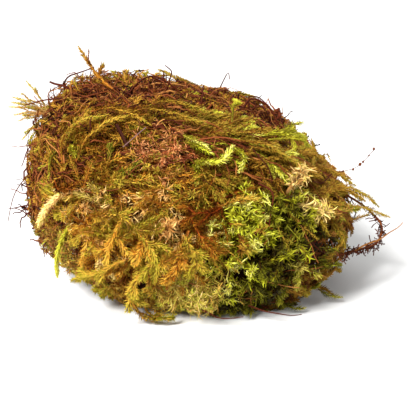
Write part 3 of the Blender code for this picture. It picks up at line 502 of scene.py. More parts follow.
# Single shoots of a spray: tint, leaf scale, then knots.
STRANDS = {
    "crown_olive": (
        (2.3, 0.8, (33, 55, 5), (38, 60, 8), (46, 62, 8), (54, 66, 6)),
        (0.8, 1.0, (-30, 62, 5), (-14, 63, 8), (2, 62, 8.5), (18, 60, 7)),
        (0.7, 1.0, (-34, 56, 5), (-20, 57, 8), (-4, 56, 8.5), (12, 54, 7)),
    ),
    "upper_left_gold": (
        (2.4, 0.8, (-48, 32, 4), (-45, 33, 7), (-42, 31, 7)),
        (2.2, 0.6, (-55, 31, 4), (-54, 27, 6), (-53, 22, 6)),
        (0.55, 1.0, (-52, 47, 5), (-42, 50, 8), (-30, 51, 8), (-20, 50, 7)),
        (0.6, 1.0, (-44, 30, 4), (-41, 37, 7), (-38, 44, 8), (-33, 51, 7)),
        (0.7, 0.9, (-50, 28, 4), (-50, 34, 7), (-47, 41, 8), (-42, 48, 7)),
    ),
    "middle_olive": (
        (2.8, 1.0, (4, 38, 5.5), (9, 36.5, 8), (17, 37, 8.5), (23, 42, 7)),
        (2.7, 0.9, (24, 43, 6.5), (26, 37, 8), (24, 32, 6)),
        (2.9, 0.8, (-2, 49, 6), (5, 45, 8), (12, 42, 7.5)),
        (2.6, 0.8, (0, 46, 6), (6, 42.5, 8), (13, 40, 7.5)),
    ),
    "upper_right_olive": (
        (2.4, 0.7, (46, 42, 5), (54, 39, 8), (63, 36, 8.5), (72, 31, 7)),
        (2.3, 0.8, (50, 44, 5), (55, 39, 8), (56, 34, 6)),
        (0.8, 1.0, (34, 42, 5), (44, 34, 8.5), (54, 26, 8)),
        (0.6, 1.0, (28, 46, 5), (38, 40, 8.5), (46, 33, 8)),
    ),
    "right_olive": (
        (0.8, 0.9, [42, -12, 40], [52, -8, 36], [60.3, -6, 29.6]),
        (0.7, 0.9, [42, -12, 32], [54, -8, 30], [63.6, -6, 25.3]),
        (0.6, 0.9, [38, -16, 38], [47, -12, 38], [55, -8, 32]),
        (2.6, 0.8, [42, -14, 27], [50, -10, 26], [56, -7, 27]),
        (0.7, 0.9, [37, -10, 46], [45, -8, 42.5], [51, -7, 37]),
    ),
    "lower_right": (
        (2.4, 0.8, [29, -28, 5], [34, -25.5, 8], [38.4, -23, 6.3], [44.5, -21, 2.4]),
        (0.6, 0.8, [38, -23, 6], [42, -23, 3.5], [46, -22, 2.5]),
        (0.5, 0.8, [24, -31, 5], [29, -31, 2.5], [33, -30, 2.2]),
        (2.6, 0.8, [38, -22, 14], [43, -19, 12], [47, -17, 10]),
    ),
    "left_foot": (
        (0.7, 0.9, [-25, -35, 7.5], [-22.5, -37.5, 5], [-19.5, -39.5, 3.2], [-12.5, -39.5, 4]),
        (0.9, 0.9, [-20, -38, 6.5], [-18, -39.5, 4], [-14, -40.5, 3.2], [-9, -40, 4.5]),
        (0.9, 0.9, [-30, -32, 9], [-33, -30, 8], [-38, -28, 8]),
    ),
    "bright_rosette": ((2.6, 1.0, (12, 20, 5), (20, 22, 8), (30, 21, 7)),),
    "left_gold": (
        (0.6, 1.0, (-22, 18, 6), (-25, 10, 9), (-28, 2, 9), (-29, -5, 7)),
        (0.8, 1.0, (-36, 14, 5), (-30, 15, 8.5), (-24, 16, 9), (-18, 19, 7)),
        (0.9, 0.9, (-40, 7, 5), (-34, 9, 8.5), (-26, 9, 9), (-22, 11, 7)),
        (0.5, 0.9, (-26, -4, 6), (-31, -7, 8), (-38, -8, 8)),
        (0.1, 0.8, (-50, 22, 6), (-45, 20, 8), (-38, 24, 8)),
        (0.9, 1.0, (-36, 7, 6.5), (-26, 7, 9), (-15, 14, 9.5), (-8, 18, 8)),
        (0.9, 0.9, (-22, 0, 8), (-33, -6, 9), (-43, -11, 9.5)),
        (0.85, 0.9, (-15, -4, 8), (-22, -14, 8.5), (-16, -21, 7)),
    ),
    "front_gold": (
        (0.5, 1.0, (-13, 15, 6), (-14, 9, 9), (-16, 4, 9.5), (-20, -2, 7)),
        (0.7, 1.0, (-16, -2, 5), (-9, 0, 8.5), (-3, 5, 9.5), (2, 11, 8)),
        (0.4, 1.0, (1, 12, 6), (-2, 5, 9), (-4, -2, 9.5), (-8, -9, 8)),
        (0.8, 0.9, (-8, 6, 6), (-9, 0, 9), (-12, -6, 8)),
        (0.95, 1.0, (-21, 15, 8), (-15, 10, 9.5), (-11, 3, 9.8), (-12, -9, 8)),
        (0.9, 1.0, (-1, 11, 8), (3, 3, 9.5), (7, -3, 8.5)),
    ),
    "amber": (
        (0.5, 0.9, (2, 16, 6), (5, 10, 9), (9, 6, 9), (14, 4, 7)),
        (0.3, 0.9, (14, 20, 5), (9, 18, 8), (3, 18, 8.5), (-2, 14, 8)),
    ),
}
# What turns a single shoot's top a little to the front.
FRONTWARDS = (0, -20, 10)
# Where the growth lies closer to the mat: turn, rise, how wide in degrees, and how much closer.
THIN = (
    (-45, -24, 26, 0.85), (-5, -38, 26, 0.6), (75, -28, 30, 0.5), (50, 72, 26, 0.65), (110, 48, 26, 0.5),
    (80, 40, 22, 0.4), (-78, 8, 30, 0.4), (-58, -10, 22, 0.45), (-22, -34, 24, 0.75),
    (8, 19, 12, 0.65), (-28, 41, 7, 0.5), (-170, -30, 40, 0.5), (-10, 84, 30, 0.5), (25, -34, 20, 0.5),
)
# Heads of curled leaves: tint, share of the other palette, then turn, rise and height of each.
CURLS = {
    "left_gold": (0.28, 1.0, (
        (-36, 17, 6.5), (-31, 22, 6), (-27, 16, 7), (-22, 22, 6), (-20, 12, 7), (-30, 6, 7.5),
    )),
    "front_gold": (0.28, 1.0, (
        (-15, 18, 7), (-9, 24, 6.5), (-13, 9, 7.5), (-4, 15, 7.5), (-3, 5, 8), (-8, -2, 8),
    )),
    "middle_russet": (0.95, 1.0, ((-25, 27, 6.5), (-14, 29, 6.5), (-17, 34, 6))),
    "amber": (0.9, 0.8, ((14, 24, 6.5), (2, 25, 6.5))),
    "front_foot": (0.85, 0.35, (
        (7, -19, 7), (5, -15, 7.5), (12, -13, 7.5), (10, -22, 6.5), (2, -21, 6.5), (1, -13, 7.5),
    )),
    "green_foot": (0.9, 1.0, ((22, -4, 8),)),
}
# Single dead stems: radius, then their points from the tangle outwards.
FREE_STEMS = (
    (0.35, (-29, -5, 63.6), (-24.2, -4, 71.8), (-18.6, -3, 75.1), (-12.1, -3, 72.4), (-4.7, -3, 65.6)),
    (0.35, (-41.6, -2, 60.2), (-46.9, -3, 67), (-53.3, -4, 66.9), (-60.7, -5, 65.3)),
    (0.6, (-42.1, 4, 62.4), (-47.6, 4, 69.3), (-53.7, 4, 71.1)),
    (0.35, (-48.4, 8, 60.8), (-49, 8, 70.1), (-43.9, 7, 74.2), (-38.5, 6, 75.4)),
    (0.3, (-14, -3, 68), (-12.5, -3.5, 72.5), (-11.8, -3.5, 76.5), (-13.6, -3, 78.6)),
    (0.3, (-46, -8, 56), (-54, -8, 55.5), (-60, -8, 51), (-63, -8, 45)),
    (0.4, (-47.5, -4, 48.9), (-55.9, -6, 46.6), (-62.1, -7, 42.3), (-59.9, -8, 38.1), (-51.3, -9, 35.7)),
    (0.25, (-50.4, 2, 41.5), (-59.9, 0, 40.5), (-65.5, -4, 34), (-68.7, -8, 25)),
    (0.35, (-48.8, 0, 29.9), (-59.1, -3, 29.5), (-67.4, -6, 28.7)),
    (0.3, (-61, -3.5, 29.3), (-63.9, -4, 27), (-67.4, -4, 26.1)),
    (0.4, (11.4, -2, 60.2), (14.6, -3, 67), (20.7, -3, 64.7), (25.6, -3, 58.3)),
    (0.25, (2, 6, 60.7), (5.2, 6, 69.9), (7.6, 5, 74.4), (8.1, 4, 72.1)),
    (0.25, (14, -35, 5.5), (20, -38, 4.4), (26, -38.5, 3.8), (31, -37.5, 3.6)),
    (0.25, (-2, -38, 5.5), (3, -41, 4.4), (7.5, -41.5, 3.9), (12, -41, 3.8)),
    (0.3, (14.6, 0, 62.0), (14.6, 0, 67.0), (18, 0, 66.5), (21.2, 0, 64.5)),
    (0.27, (16.5, -38, 49), (20.7, -41, 47.1), (20.6, -43, 41.5), (20.1, -44, 36.5)),
)
# The middle of the little wad of brown buds at the right end of the crest.
KNOT = (24.8, -1.5, 61.6)
# Pale heads: how fresh the leaves are, then the knots where the sheath starts and ends.
PALE_HEADS = {
    "pale_head_upper_right": (0.6, (41, 21, 6.5), (49, 26, 8.5)),
    "pale_head_right": (0.7, (42, 17, 6.5), (53, 11, 8.0)),
    "pale_head_front": (0.22, (-13, 10, 6.5), (-6, 14, 8.0)),
}
# The tips of the straw-coloured fan.
FAN_TIPS = (
    (-60.6, -2, 73.1), (-65.1, -4, 68), (-66.8, -3, 64.3), (-63.1, -7, 60.5),
    (-62.6, -5, 53.3), (-66, -3, 66), (-65, -5, 62),
)
# Old leafy shoots and bare stems scattered over the whole clump.
OLD_SHOOTS, BARE_STEMS = 380, 420
# Each group's own start of its random choices; a spray's is its place in SPRAYS.
DRAWS = {"dead_stems": 500, "loose_fronds": 600, "pale_heads": 700, "cream_branch": 720, "rootlets": 800}


def fleece(direction):
    """How deep the growth is over the mat, as a share of the usual."""
    share = np.ones(direction.shape[:-1])
    for turn, rise, wide, less in THIN:
        away = np.arccos(np.clip(direction @ aim(turn, rise), -1, 1))
        share *= 1 - less * np.exp(-((away / math.radians(wide)) ** 2))
    return share


def cell_starts(rng, index, count, widest=0.62, lowest=2.0):
    """Directions scattered over the stretch nearest one site, none below the lowest height."""
    found = np.zeros((0, 3))
    while len(found) < count:
        drawn = unit(SITES[index] + rng.uniform(-widest, widest, (count * 6, 3)))
        near = np.argmax(drawn @ SITES.T, axis=1) == index
        near &= (drawn @ SITES[index] > math.cos(widest)) & (on_mat(drawn)[:, 2] > lowest)
        found = np.concatenate([found, drawn[near]])
    return found[:count]


def everywhere(rng, count, lowest=3.0):
    """Directions scattered over the whole clump."""
    drawn = unit(rng.normal(0, 1, (count * 3, 3)))
    return drawn[on_mat(drawn)[:, 2] > lowest][:count]


def rising(root, middle, tip, steps):
    """Heights along each shoot, from its root through its middle to its tip."""
    part = np.linspace(0, 1, steps)
    return root[:, None] * (1 - part) ** 2 + 2 * middle[:, None] * part * (1 - part) + tip[:, None] * part**2


def wriggle(rng, paths, reach):
    """Small slow bends added along each path, none at its root."""
    count, steps = paths.shape[:2]
    part = np.linspace(0, 1, steps)[None, :, None]
    swing = np.zeros_like(paths)
    for turns in (1.0, 2.3):
        way = rng.normal(0, 1, (count, 1, 3))
        swing += way * np.sin(FULL_TURN * (turns * part + rng.uniform(0, 1, (count, 1, 1)))) / turns
    return paths + swing * np.sqrt(part) * reach


def kinked(rng, paths, reach):
    """Sharp little bends added along each path, none at its root."""
    part = np.minimum(np.linspace(0, 4, paths.shape[1]), 1)[None, :, None]
    return paths + rng.normal(0, reach, paths.shape) * part


def laid_shoots(rng, starts, length, heading, spread, steps=9, lift=(0.5, 4.5, 6.5), droop=0.5, stray=0.07):
    """Shoots that run over the mat: their points, which way is up along them, and how high they lie.

    The lift is the usual height of their roots, middles and tips, and stray the share whose tips
    stand out.
    """
    count = len(starts)
    course = np.radians(heading + spread * rng.uniform(-1, 1, count))
    long = length * rng.uniform(0.55, 1.2, count)
    still = np.zeros(count)
    starts = walk(starts, course + math.pi, long * 0.35, 4, still, still, still)[:, -1]
    bend, wave = rng.normal(0, 0.35, count), rng.normal(0, 0.7, count)
    route = walk(starts, course, long, steps, bend, wave, rng.uniform(0.3, 1.4, count) * droop)
    layer = rng.uniform(0, 1, count)
    root = lift[0] + rng.uniform(-1.5, 3.0, count) * layer
    middle = lift[1] * (0.35 + 0.9 * layer)
    tip = lift[2] * (0.35 + 0.8 * layer) + (rng.uniform(0, 1, count) < stray) * rng.uniform(1.5, 4.0, count)
    points = on_mat(route, rising(root, middle, tip, steps) * fleece(route))
    return lie_on_floor(wriggle(rng, points, 0.35)), mat_normal(route), layer


def standing_shoots(rng, starts, length, steps=5, lean=0.35):
    """Short shoots that stand up out of the mat, and which way is up along them."""
    count = len(starts)
    normal = mat_normal(starts)
    way = unit(normal + rng.normal(0, lean, (count, 3)) + (0, 0, 0.15))
    foot = on_mat(starts, rng.uniform(-1.5, 1.0, count))
    part = np.linspace(0, 1, steps)[None, :, None]
    long = (length * rng.uniform(0.55, 1.1, count) * fleece(starts))[:, None, None]
    bow = rng.normal(0, 0.22, (count, 1, 3)) * long
    points = foot[:, None] + way[:, None] * long * part + bow * part**2
    over = unit(np.cross(way, np.cross(normal, way) + 0.01))
    return lie_on_floor(points, least=1.5), np.repeat(over[:, None], steps, 1)


def arcs(starts, ways, towards, lengths, angles, steps):
    """Paths that leave each start its own way and bend towards another one through an angle."""
    ways = unit(ways)
    towards = unit(towards - (towards * ways).sum(-1, keepdims=True) * ways)
    angle = (angles[:, None] * (np.arange(steps - 1) + 0.5) / (steps - 1))[..., None]
    course = turned(ways[:, None], towards[:, None], angle)
    reach = np.cumsum(course * (lengths / (steps - 1))[:, None, None], axis=1)
    return starts[:, None] + np.concatenate([np.zeros((len(starts), 1, 3)), reach], 1)


def branches(rng, paths, ups, places, length, angle, steps=6, taper=0.6):
    """Side shoots that leave each path to both sides and bend forward and down, and their ups."""
    count, total = paths.shape[:2]
    along = unit(np.gradient(paths, axis=1))
    made, tops = [], []
    for number, place in enumerate(places):
        at = min(int(place * (total - 1)), total - 2)
        hand = 1 if number % 2 else -1
        over, way = ups[:, at], along[:, at]
        side = unit(np.cross(way, over)) * hand
        turn = np.radians(angle + rng.normal(0, 12, count))[:, None]
        course = turned(way, side, turn) + over * rng.normal(0.05, 0.25, (count, 1))
        long = length * (1.15 - taper * place) * rng.uniform(0.6, 1.25, count)
        bend = way * 0.8 - over * rng.uniform(-0.3, 0.9, (count, 1)) + (0, 0, -0.25)
        made.append(arcs(paths[:, at], course, bend, long, rng.uniform(0.2, 1.3, count), steps))
        tops.append(np.repeat(over[:, None], steps, 1))
    return np.concatenate(made), np.concatenate(tops)


def rosettes(rng, centres, ups, tints, reach=2.9, leaves_each=30, slim=0.06):
    """Bushy whorls of narrow leaves: low ones spread wide, upper ones closed, most curled inwards."""
    count = len(centres)
    right = unit(np.cross(ups, rng.normal(0, 1, (count, 3))))
    over = np.cross(ups, right)
    reach = reach * rng.uniform(0.75, 1.2, count)
    profile = np.array((0.6, 1.0, 0.95, 0.7, 0.4, 0.05))
    made = []
    for number in range(leaves_each):
        ring = number / leaves_each
        out = turned(right, over, (2.4 * number + rng.normal(0, 0.5, count))[:, None])
        way = turned(ups, out, (math.radians(90 - 66 * ring) + rng.normal(0, 0.32, count))[:, None])
        back = (rng.uniform(0, 1, count) < 0.3)[:, None]
        bend = np.where(back, -ups, ups - out * 0.8)
        foot = centres + out * 0.15 - ups * (reach * 0.45 * (1 - ring))[:, None]
        long = reach * rng.uniform(0.55, 1.25, count)
        path = arcs(foot, way, bend, long, rng.uniform(0.5, 2.4, count), len(profile))
        lean = np.cross(np.gradient(path, axis=1), np.cross(ups, out)[:, None]) * -1
        tint = tints + rng.normal(0, 0.1, count) + 0.3 * ring - 0.1
        made.append(blades(path, unit(lean), profile * (reach * slim)[:, None], tint))
    return made


def tints_for(rng, count, middle=0.5, wide=0.24, second=0.0):
    """A tint for each shoot, a share of them from the second palette."""
    return np.clip(rng.normal(middle, wide, count), 0.03, 0.97) + 2 * (rng.uniform(0, 1, count) < second)


def curling_leaves(rng, paths, up, course, width, uneven, tints):
    """Pointed leaves along curling paths that leave a head, each of its own width."""
    lean = unit(np.cross(np.gradient(paths, axis=1), np.cross(up, course)[:, None] + 0.01))
    widths = LEAF_PROFILE * width * rng.uniform(*uneven, (len(paths), 1))
    return blades(lie_on_floor(paths, least=0.3), lean, widths, tints_for(rng, len(paths), *tints))


def curled_head(rng, centre, up, count, length, width, curl, tints):
    """A head of narrow leaves that spread from its middle and curl over, through angles in radians."""
    right = unit(np.cross(UP, up))
    out = turned(right, np.cross(up, right), rng.uniform(0, FULL_TURN, count)[:, None])
    course = out + up * rng.uniform(0.0, 1.6, count)[:, None]
    bend = out * rng.normal(0, 0.7, (count, 1)) - up * rng.normal(0.6, 0.8, (count, 1))
    bend += rng.normal(0, 0.5, (count, 3))
    long = length * rng.uniform(0.6, 1.3, count)
    path = arcs(centre + out * 0.3, course, bend, long, rng.uniform(*curl, count), LEAF_STEPS)
    return curling_leaves(rng, path, up, course, width, (0.7, 1.3), tints)


def scattered_heads(rng, heads, heights, **head):
    """Little curled heads among the shoots of a spray."""
    centres = on_mat(heads, rng.uniform(*heights, len(heads)) * fleece(heads))
    return [
        curled_head(rng, centre, up, **head)
        for centre, up in zip(centres, mat_normal(heads))
        if centre[2] > LOWEST_HEAD
    ]


def placed_heads(rng, name):
    """The heads of curled leaves that stand out in one spray, each of its own size."""
    tint, share, places = CURLS.get(name, (0, 0, ()))
    made = []
    for place in places:
        up = mat_normal(aim(*place[:2]))
        made.append(curled_head(rng, knot_point(place), up, count=18, length=rng.uniform(2.4, 3.8),
                                width=0.16, curl=(1.4, 5.0), tints=(tint, 0.2, share)))
    return made


# ---- sizes and colours that a user may change ----
class MossShape(PropertyGroup):
    """How fine the moss is."""

    leaf_length: FloatProperty(name="Leaf length", description="Length of a small leaf on a shoot",
                               default=0.0018, unit="LENGTH", min=0.0005, max=0.004)
    leaf_width: FloatProperty(name="Leaf width", description="Half a leaf's width as a share of its length",
                              default=0.15, subtype="FACTOR", min=0.05, max=0.5)
    leaf_spacing: FloatProperty(name="Leaf spacing", description="Distance along a shoot between leaves",
                                default=0.00062, unit="LENGTH", min=0.0002, max=0.002)
    leaf_spread: FloatProperty(name="Leaf spread", description="Angle of a leaf off its stem",
                               default=math.radians(42), subtype="ANGLE", min=0.1, max=1.5)
    stem_radius: FloatProperty(name="Stem radius", description="Radius of a leafy shoot's stem",
                               default=0.00030, unit="LENGTH", min=0.00005, max=0.001)
    dead_stems: IntProperty(name="Dead stems", description="Number of bare stems in the tangle",
                            default=1180, min=100, max=3000)
    fullness: FloatProperty(name="Fullness", description="Number of shoots, as a share of the usual number",
                            default=1.0, subtype="FACTOR", min=0.1, max=1.5)
    seed: IntProperty(name="Seed", description="Starting number of every random choice", default=11, min=0)


def main_colour(key, label, growth):
    """The property of one palette's main colour."""
    return FloatVectorProperty(name=label, description="Main colour of " + growth, subtype="COLOR",
                               size=3, min=0, max=1, default=srgb(TINTS[key][0][MAIN_TINT]))


class MossColours(PropertyGroup):
    """The main colour of each kind of growth; its other tints follow it."""

    olive: main_colour("olive", "Olive", "the olive shoots")
    gold_olive: main_colour("gold_olive", "Golden olive", "the yellowish olive shoots")
    gold: main_colour("gold", "Gold", "the golden fronds")
    amber: main_colour("amber", "Amber", "the orange-brown fronds in the hollow")
    russet: main_colour("russet", "Russet", "the reddish-brown shoots")
    blush: main_colour("blush", "Blush", "the pinkish curly patch")
    green: main_colour("green", "Bright green", "the yellow-green rosettes")
    deep_green: main_colour("deep_green", "Deep green", "the dark green rosettes")
    straw: main_colour("straw", "Straw", "the pale yellow threads")
    lime: main_colour("lime", "Lime", "the lime fronds")
    cream: main_colour("cream", "Cream", "the pale curled heads")
    bark: main_colour("bark", "Bark", "the rootlets and the stub")
    stalk: main_colour("stalk", "Stalk", "the grass stalk")
    brown: main_colour("brown", "Brown", "the dead stems")


def fine(leaf=1.0, spacing=1.0, spread=1.0, stem=1.0, width=1.0, rows=5, fan=230, open=0):
    """The user's sizes in millimetres and degrees, some of them scaled."""
    shape = bpy.context.scene.moss_shape
    return Size(
        shape.leaf_length * 1000 * leaf, shape.leaf_width * width, shape.leaf_spacing * 1000 * spacing,
        math.degrees(shape.leaf_spread) * spread, shape.stem_radius * 1000 * stem, rows, fan, open,
    )


def draws(number):
    """The random choices of one spray or group, from the user's seed."""
    return np.random.default_rng((bpy.context.scene.moss_shape.seed, number))


# ---- the sprays ----
def strands(rng, name, kind):
    """The single shoots that stand out in one spray; in a frond spray they have side shoots."""
    made = []
    for tint, scale, *knots in STRANDS.get(name, ()):
        path = wriggle(rng, curve([knot_point(knot) for knot in knots], 12)[None], 0.3)
        up = unit(path - HEART + FRONTWARDS)
        if kind != "frond":
            made += leafy(rng, path, up, tint, fine(leaf=scale, spacing=0.7, fan=260))
            continue
        bold = fine(leaf=1.1 * scale, spacing=0.65, spread=1.15, stem=1.5, open=0.12)
        made += leafy(rng, path, up, tint, bold)
        reach = np.linalg.norm(np.diff(path[0], axis=0), axis=1).sum()
        sides, tops = branches(rng, path, up, (0.4, 0.7), reach * 0.32, 42, steps=8, taper=0.3)
        made += leafy(rng, lie_on_floor(sides), tops, tint + 0.1, bold)
    return made


def grow_feathers(rng, _, spray, starts):
    """Leafy shoots all over a spray's stretch, each with a few side shoots."""
    paths, ups, layer = laid_shoots(rng, starts, spray.length, spray.heading, spray.spread)
    # Lower-lying shoots take darker tints: partly older growth, partly painted shade deep in the growth.
    tints = tints_for(rng, len(starts), 0.06 + 0.6 * layer, 0.18, spray.share)
    made = leafy(rng, paths, ups, tints, fine())
    places = (0.3, 0.55, 0.75)
    forks, tops = branches(rng, paths, ups, places, spray.length * 0.3, 36)
    tints = np.tile(tints + rng.normal(0.08, 0.1, len(starts)), len(places))
    return made + leafy(rng, lie_on_floor(forks), tops, tints, fine(leaf=0.85))


def grow_fronds(rng, index, spray, starts):
    """Feathery fronds: a main shoot with curved side shoots to both sides, and curled heads."""
    paths, ups, layer = laid_shoots(rng, starts, spray.length, spray.heading, spray.spread,
                                    lift=(0.5, 6.2, 9.2), droop=0.3)
    # Lower-lying shoots take darker tints: partly older growth, partly painted shade deep in the growth.
    tints = tints_for(rng, len(starts), 0.85 * layer - 0.08, 0.18, spray.share)
    bold = fine(leaf=0.88, spacing=0.85, spread=1.2, stem=1.3, open=0.12)
    made = leafy(rng, paths, ups, tints, bold)
    places = (0.35, 0.62)
    sides, tops = branches(rng, paths, ups, places, spray.length * 0.45, 46, steps=8, taper=0.3)
    sides = lie_on_floor(wriggle(rng, sides, 0.35))
    made += leafy(rng, sides, tops, np.tile(tints, len(places)) + rng.normal(0.1, 0.16, len(sides)), bold)
    heads = cell_starts(rng, index, len(starts))
    return made + scattered_heads(rng, heads, heights=(3.5, 7.8), count=13, length=3.1, width=0.13,
                                  curl=(0.8, 4.0), tints=(0.34, 0.24, 0.8))


def grow_rosettes(rng, index, spray, starts):
    """Leafy stalks that end in small rosettes, over dark leafy shoots."""
    paths, ups = standing_shoots(rng, starts, spray.length)
    tints = tints_for(rng, len(starts), 0.35, 0.2, spray.share)
    made = leafy(rng, paths, ups, tints - 0.15, fine(leaf=1.2, rows=4, fan=300))
    fresher = 0.3 if spray.main == "green" else 0.0
    made += rosettes(rng, paths[:, -1], unit(paths[:, -1] - paths[:, -2]), tints + fresher)
    low = cell_starts(rng, index, max(len(starts) // 2, 4))
    paths, ups, _ = laid_shoots(rng, low, 11, spray.heading, 180, lift=(0.0, 2.0, 3.5))
    # The low shoots take dark tints: partly old growth, partly painted shade under the rosettes.
    tints = tints_for(rng, len(low), 0.12, 0.12)
    return made + leafy(rng, paths, ups, tints, fine(leaf=1.3, width=1.3, rows=4))


def grow_curls(rng, index, spray, starts):
    """Fine curly threads with sparse small leaves, and little curled heads among them."""
    shares = spray.share
    if spray.main == "blush":
        # The blush gives way to olive round the patch's edge.
        away = np.arccos(np.clip(starts @ SITES[index], -1, 1))
        shares = 1 - (1 - shares) * np.exp(-((away / 0.17) ** 4))
    paths, ups, layer = laid_shoots(rng, starts, spray.length, spray.heading, spray.spread,
                                    steps=11, lift=(0.5, 5.0, 7.0))
    paths = lie_on_floor(wriggle(rng, paths, 0.9))
    # Lower-lying threads take darker tints: partly older growth, partly painted shade deep in the growth.
    tints = tints_for(rng, len(starts), (0.5 if spray.main == "straw" else 0.3) + 0.4 * layer, 0.2, shares)
    thin = fine(leaf=0.85, spacing=1.2, spread=1.2, stem=0.8, rows=4, fan=300)
    made = leafy(rng, paths, ups, tints, thin)
    heads = cell_starts(rng, index, int(len(starts) * 0.5), widest=0.3)
    return made + scattered_heads(rng, heads, heights=(3.0, 6.5), count=10, length=spray.length * 0.31,
                                  width=0.14, curl=(0.8, 3.6), tints=(0.6, 0.2, spray.share))


def grow_sprays(context, kind, grow):
    """Makes every spray of one kind."""
    for index, (name, spray) in enumerate(SPRAYS.items()):
        if spray.kind == kind:
            rng = draws(index)
            starts = cell_starts(rng, index, int(spray.shoots * context.scene.moss_shape.fullness))
            made = grow(rng, index, spray, starts) + strands(rng, name, kind) + placed_heads(rng, name)
            mesh_piece(name + "_shoots", made, palette(spray.main, spray.other), name + "_spray")
    return {"FINISHED"}


class MOSS_OT_feathers(Operator):
    """Grow the sprays of feathery shoots"""

    bl_idname = "moss.feathers"
    bl_label = "Feathery Sprays"

    def execute(self, context):
        return grow_sprays(context, "feather", grow_feathers)


class MOSS_OT_fronds(Operator):
    """Grow the sprays of branched fronds"""

    bl_idname = "moss.fronds"
    bl_label = "Branched Sprays"

    def execute(self, context):
        return grow_sprays(context, "frond", grow_fronds)


class MOSS_OT_rosettes(Operator):
    """Grow the sprays of upright shoots with rosettes"""

    bl_idname = "moss.rosettes"
    bl_label = "Rosette Sprays"

    def execute(self, context):
        return grow_sprays(context, "rosette", grow_rosettes)


class MOSS_OT_curls(Operator):
    """Grow the sprays of curly threads"""

    bl_idname = "moss.curls"
    bl_label = "Curly Sprays"

    def execute(self, context):
        return grow_sprays(context, "curly", grow_curls)


# ---- the dead stems ----
# How stems lie in the tangle: any way round, and hardly drooping.
ANY_WAY = {"heading": 90, "spread": 180, "droop": 0.2}


def tangled_stems(rng, number, bare, thin):
    """Bare stems and thin leafy shoots where the tangle shows."""
    starts = cell_starts(rng, number, bare, 0.75, 1.0)
    paths, ups, layer = laid_shoots(rng, starts, 15, steps=7, lift=(0.0, 4.5, 6.0), stray=0.1, **ANY_WAY)
    radii = np.linspace(1, 0.4, 7) * 0.14 * np.exp(rng.uniform(0, 1.45, (bare, 1)))
    paths = kinked(rng, wriggle(rng, paths, 0.9), 0.35)
    # Lower-lying stems take darker tints: partly older stems, partly painted shade deep in the tangle.
    made = [stalks(paths, ups, radii, tints_for(rng, bare, 0.15 + 0.5 * layer, 0.3))]
    starts = cell_starts(rng, number, thin, 0.75, 1.0)
    paths, ups, layer = laid_shoots(rng, starts, 14, steps=7, lift=(0.0, 4.5, 6.5), **ANY_WAY)
    # Lower-lying shoots take darker tints: partly older growth, partly painted shade deep in the tangle.
    tints = tints_for(rng, thin, 0.2 + 0.5 * layer, 0.2, 0.65)
    sparse = fine(leaf=0.9, spacing=1.4, rows=4, fan=280)
    return made + leafy(rng, kinked(rng, paths, 0.3), ups, tints, sparse)


def stray_stems(rng, turn, rise, count, steps=9):
    """Bare stems that stand out of the clump round one direction and bend over."""
    starts = unit(aim(turn, rise) + rng.normal(0, 0.22, (count, 3)))
    away = mat_normal(starts)
    ways = away * 0.9 + rng.normal(0, 0.7, (count, 3))
    feet = on_mat(starts, rng.uniform(1, 4, count))
    bend = rng.normal(0, 1, (count, 3)) - away * 0.5
    paths = arcs(feet, ways, bend, rng.uniform(4, 10, count), rng.uniform(0.3, 2.6, count), steps)
    radii = np.linspace(1, 0.45, steps) * rng.uniform(0.2, 0.5, (count, 1))
    ups = np.broadcast_to(unit(np.cross(ways, (0.3, 0.2, 1.0)))[:, None], paths.shape)
    return stalks(kinked(rng, paths, 0.2), ups, radii, tints_for(rng, count, 0.3, 0.25))


def crossing_stems(rng, turn, rise, count, heading, steps=9):
    """Bare stems that cross over the leafy growth."""
    starts = unit(aim(turn, rise) + rng.normal(0, 0.16, (count, 3)))
    paths, ups, _ = laid_shoots(rng, starts, 17, heading, 30, steps, (3.0, 6.5, 7.5), 0.2)
    radii = np.linspace(1, 0.4, steps) * rng.uniform(0.2, 0.45, (count, 1))
    return stalks(kinked(rng, wriggle(rng, paths, 0.7), 0.25), ups, radii, tints_for(rng, count, 0.45, 0.25))


class MOSS_OT_dead_stems(Operator):
    """Lay the tangle of bare brown stems that holds the clump together"""

    bl_idname = "moss.dead_stems"
    bl_label = "Dead Stems"

    def execute(self, context):
        rng = draws(DRAWS["dead_stems"])
        made = [core()]
        share = context.scene.moss_shape.dead_stems / sum(row[2] for row in BARE)
        for number, (_, _, bare, thin) in enumerate(BARE, len(SPRAYS)):
            made += tangled_stems(rng, number, int(bare * share), thin)
        made += [stray_stems(rng, *row) for row in STRAYS]
        made += [crossing_stems(rng, *row) for row in CROSSING]

        starts = everywhere(rng, OLD_SHOOTS)
        paths, ups, _ = laid_shoots(rng, starts, 14, steps=6, lift=(-0.5, 2.0, 3.5), stray=0, **ANY_WAY)
        tints = tints_for(rng, len(starts), 0.15, 0.12, 0.3)
        made += leafy(rng, paths, ups, tints, fine(spacing=2.2, spread=1.2, rows=4))
        starts = everywhere(rng, BARE_STEMS)
        paths, ups, _ = laid_shoots(rng, starts, 18, steps=7, lift=(0.0, 4.5, 6.0), stray=0.02, **ANY_WAY)
        radii = np.linspace(1, 0.6, 7) * rng.uniform(0.16, 0.34, (len(starts), 1))
        made.append(stalks(kinked(rng, paths, 0.3), ups, radii, tints_for(rng, len(starts), 0.5, 0.3)))

        for radius, *points in FREE_STEMS:
            path = wriggle(rng, curve(points, 16)[None], 0.3)
            up = np.broadcast_to(unit(np.array((0.2, -0.9, 0.35))), path.shape)
            made.append(stalks(path, up, np.linspace(1.4, 0.7, 16) * radius, 0.3))
        made += [bud(KNOT + rng.normal(0, 0.75, 3), rng.uniform(0.4, 0.7), 0.3) for _ in range(9)]
        mesh_piece("dead_stems", made, palette("brown", "gold_olive", 0.7), "dead_stem_mat")
        return {"FINISHED"}


# ---- the single pieces ----
def traced(knots, steps, up=(0.2, -0.9, 0.3)):
    """One path through knots, with its ups, as leafy and stalks take them."""
    path = curve([knot_point(knot) for knot in knots], steps)[None]
    return path, np.broadcast_to(unit(np.array(up, float)), path.shape)


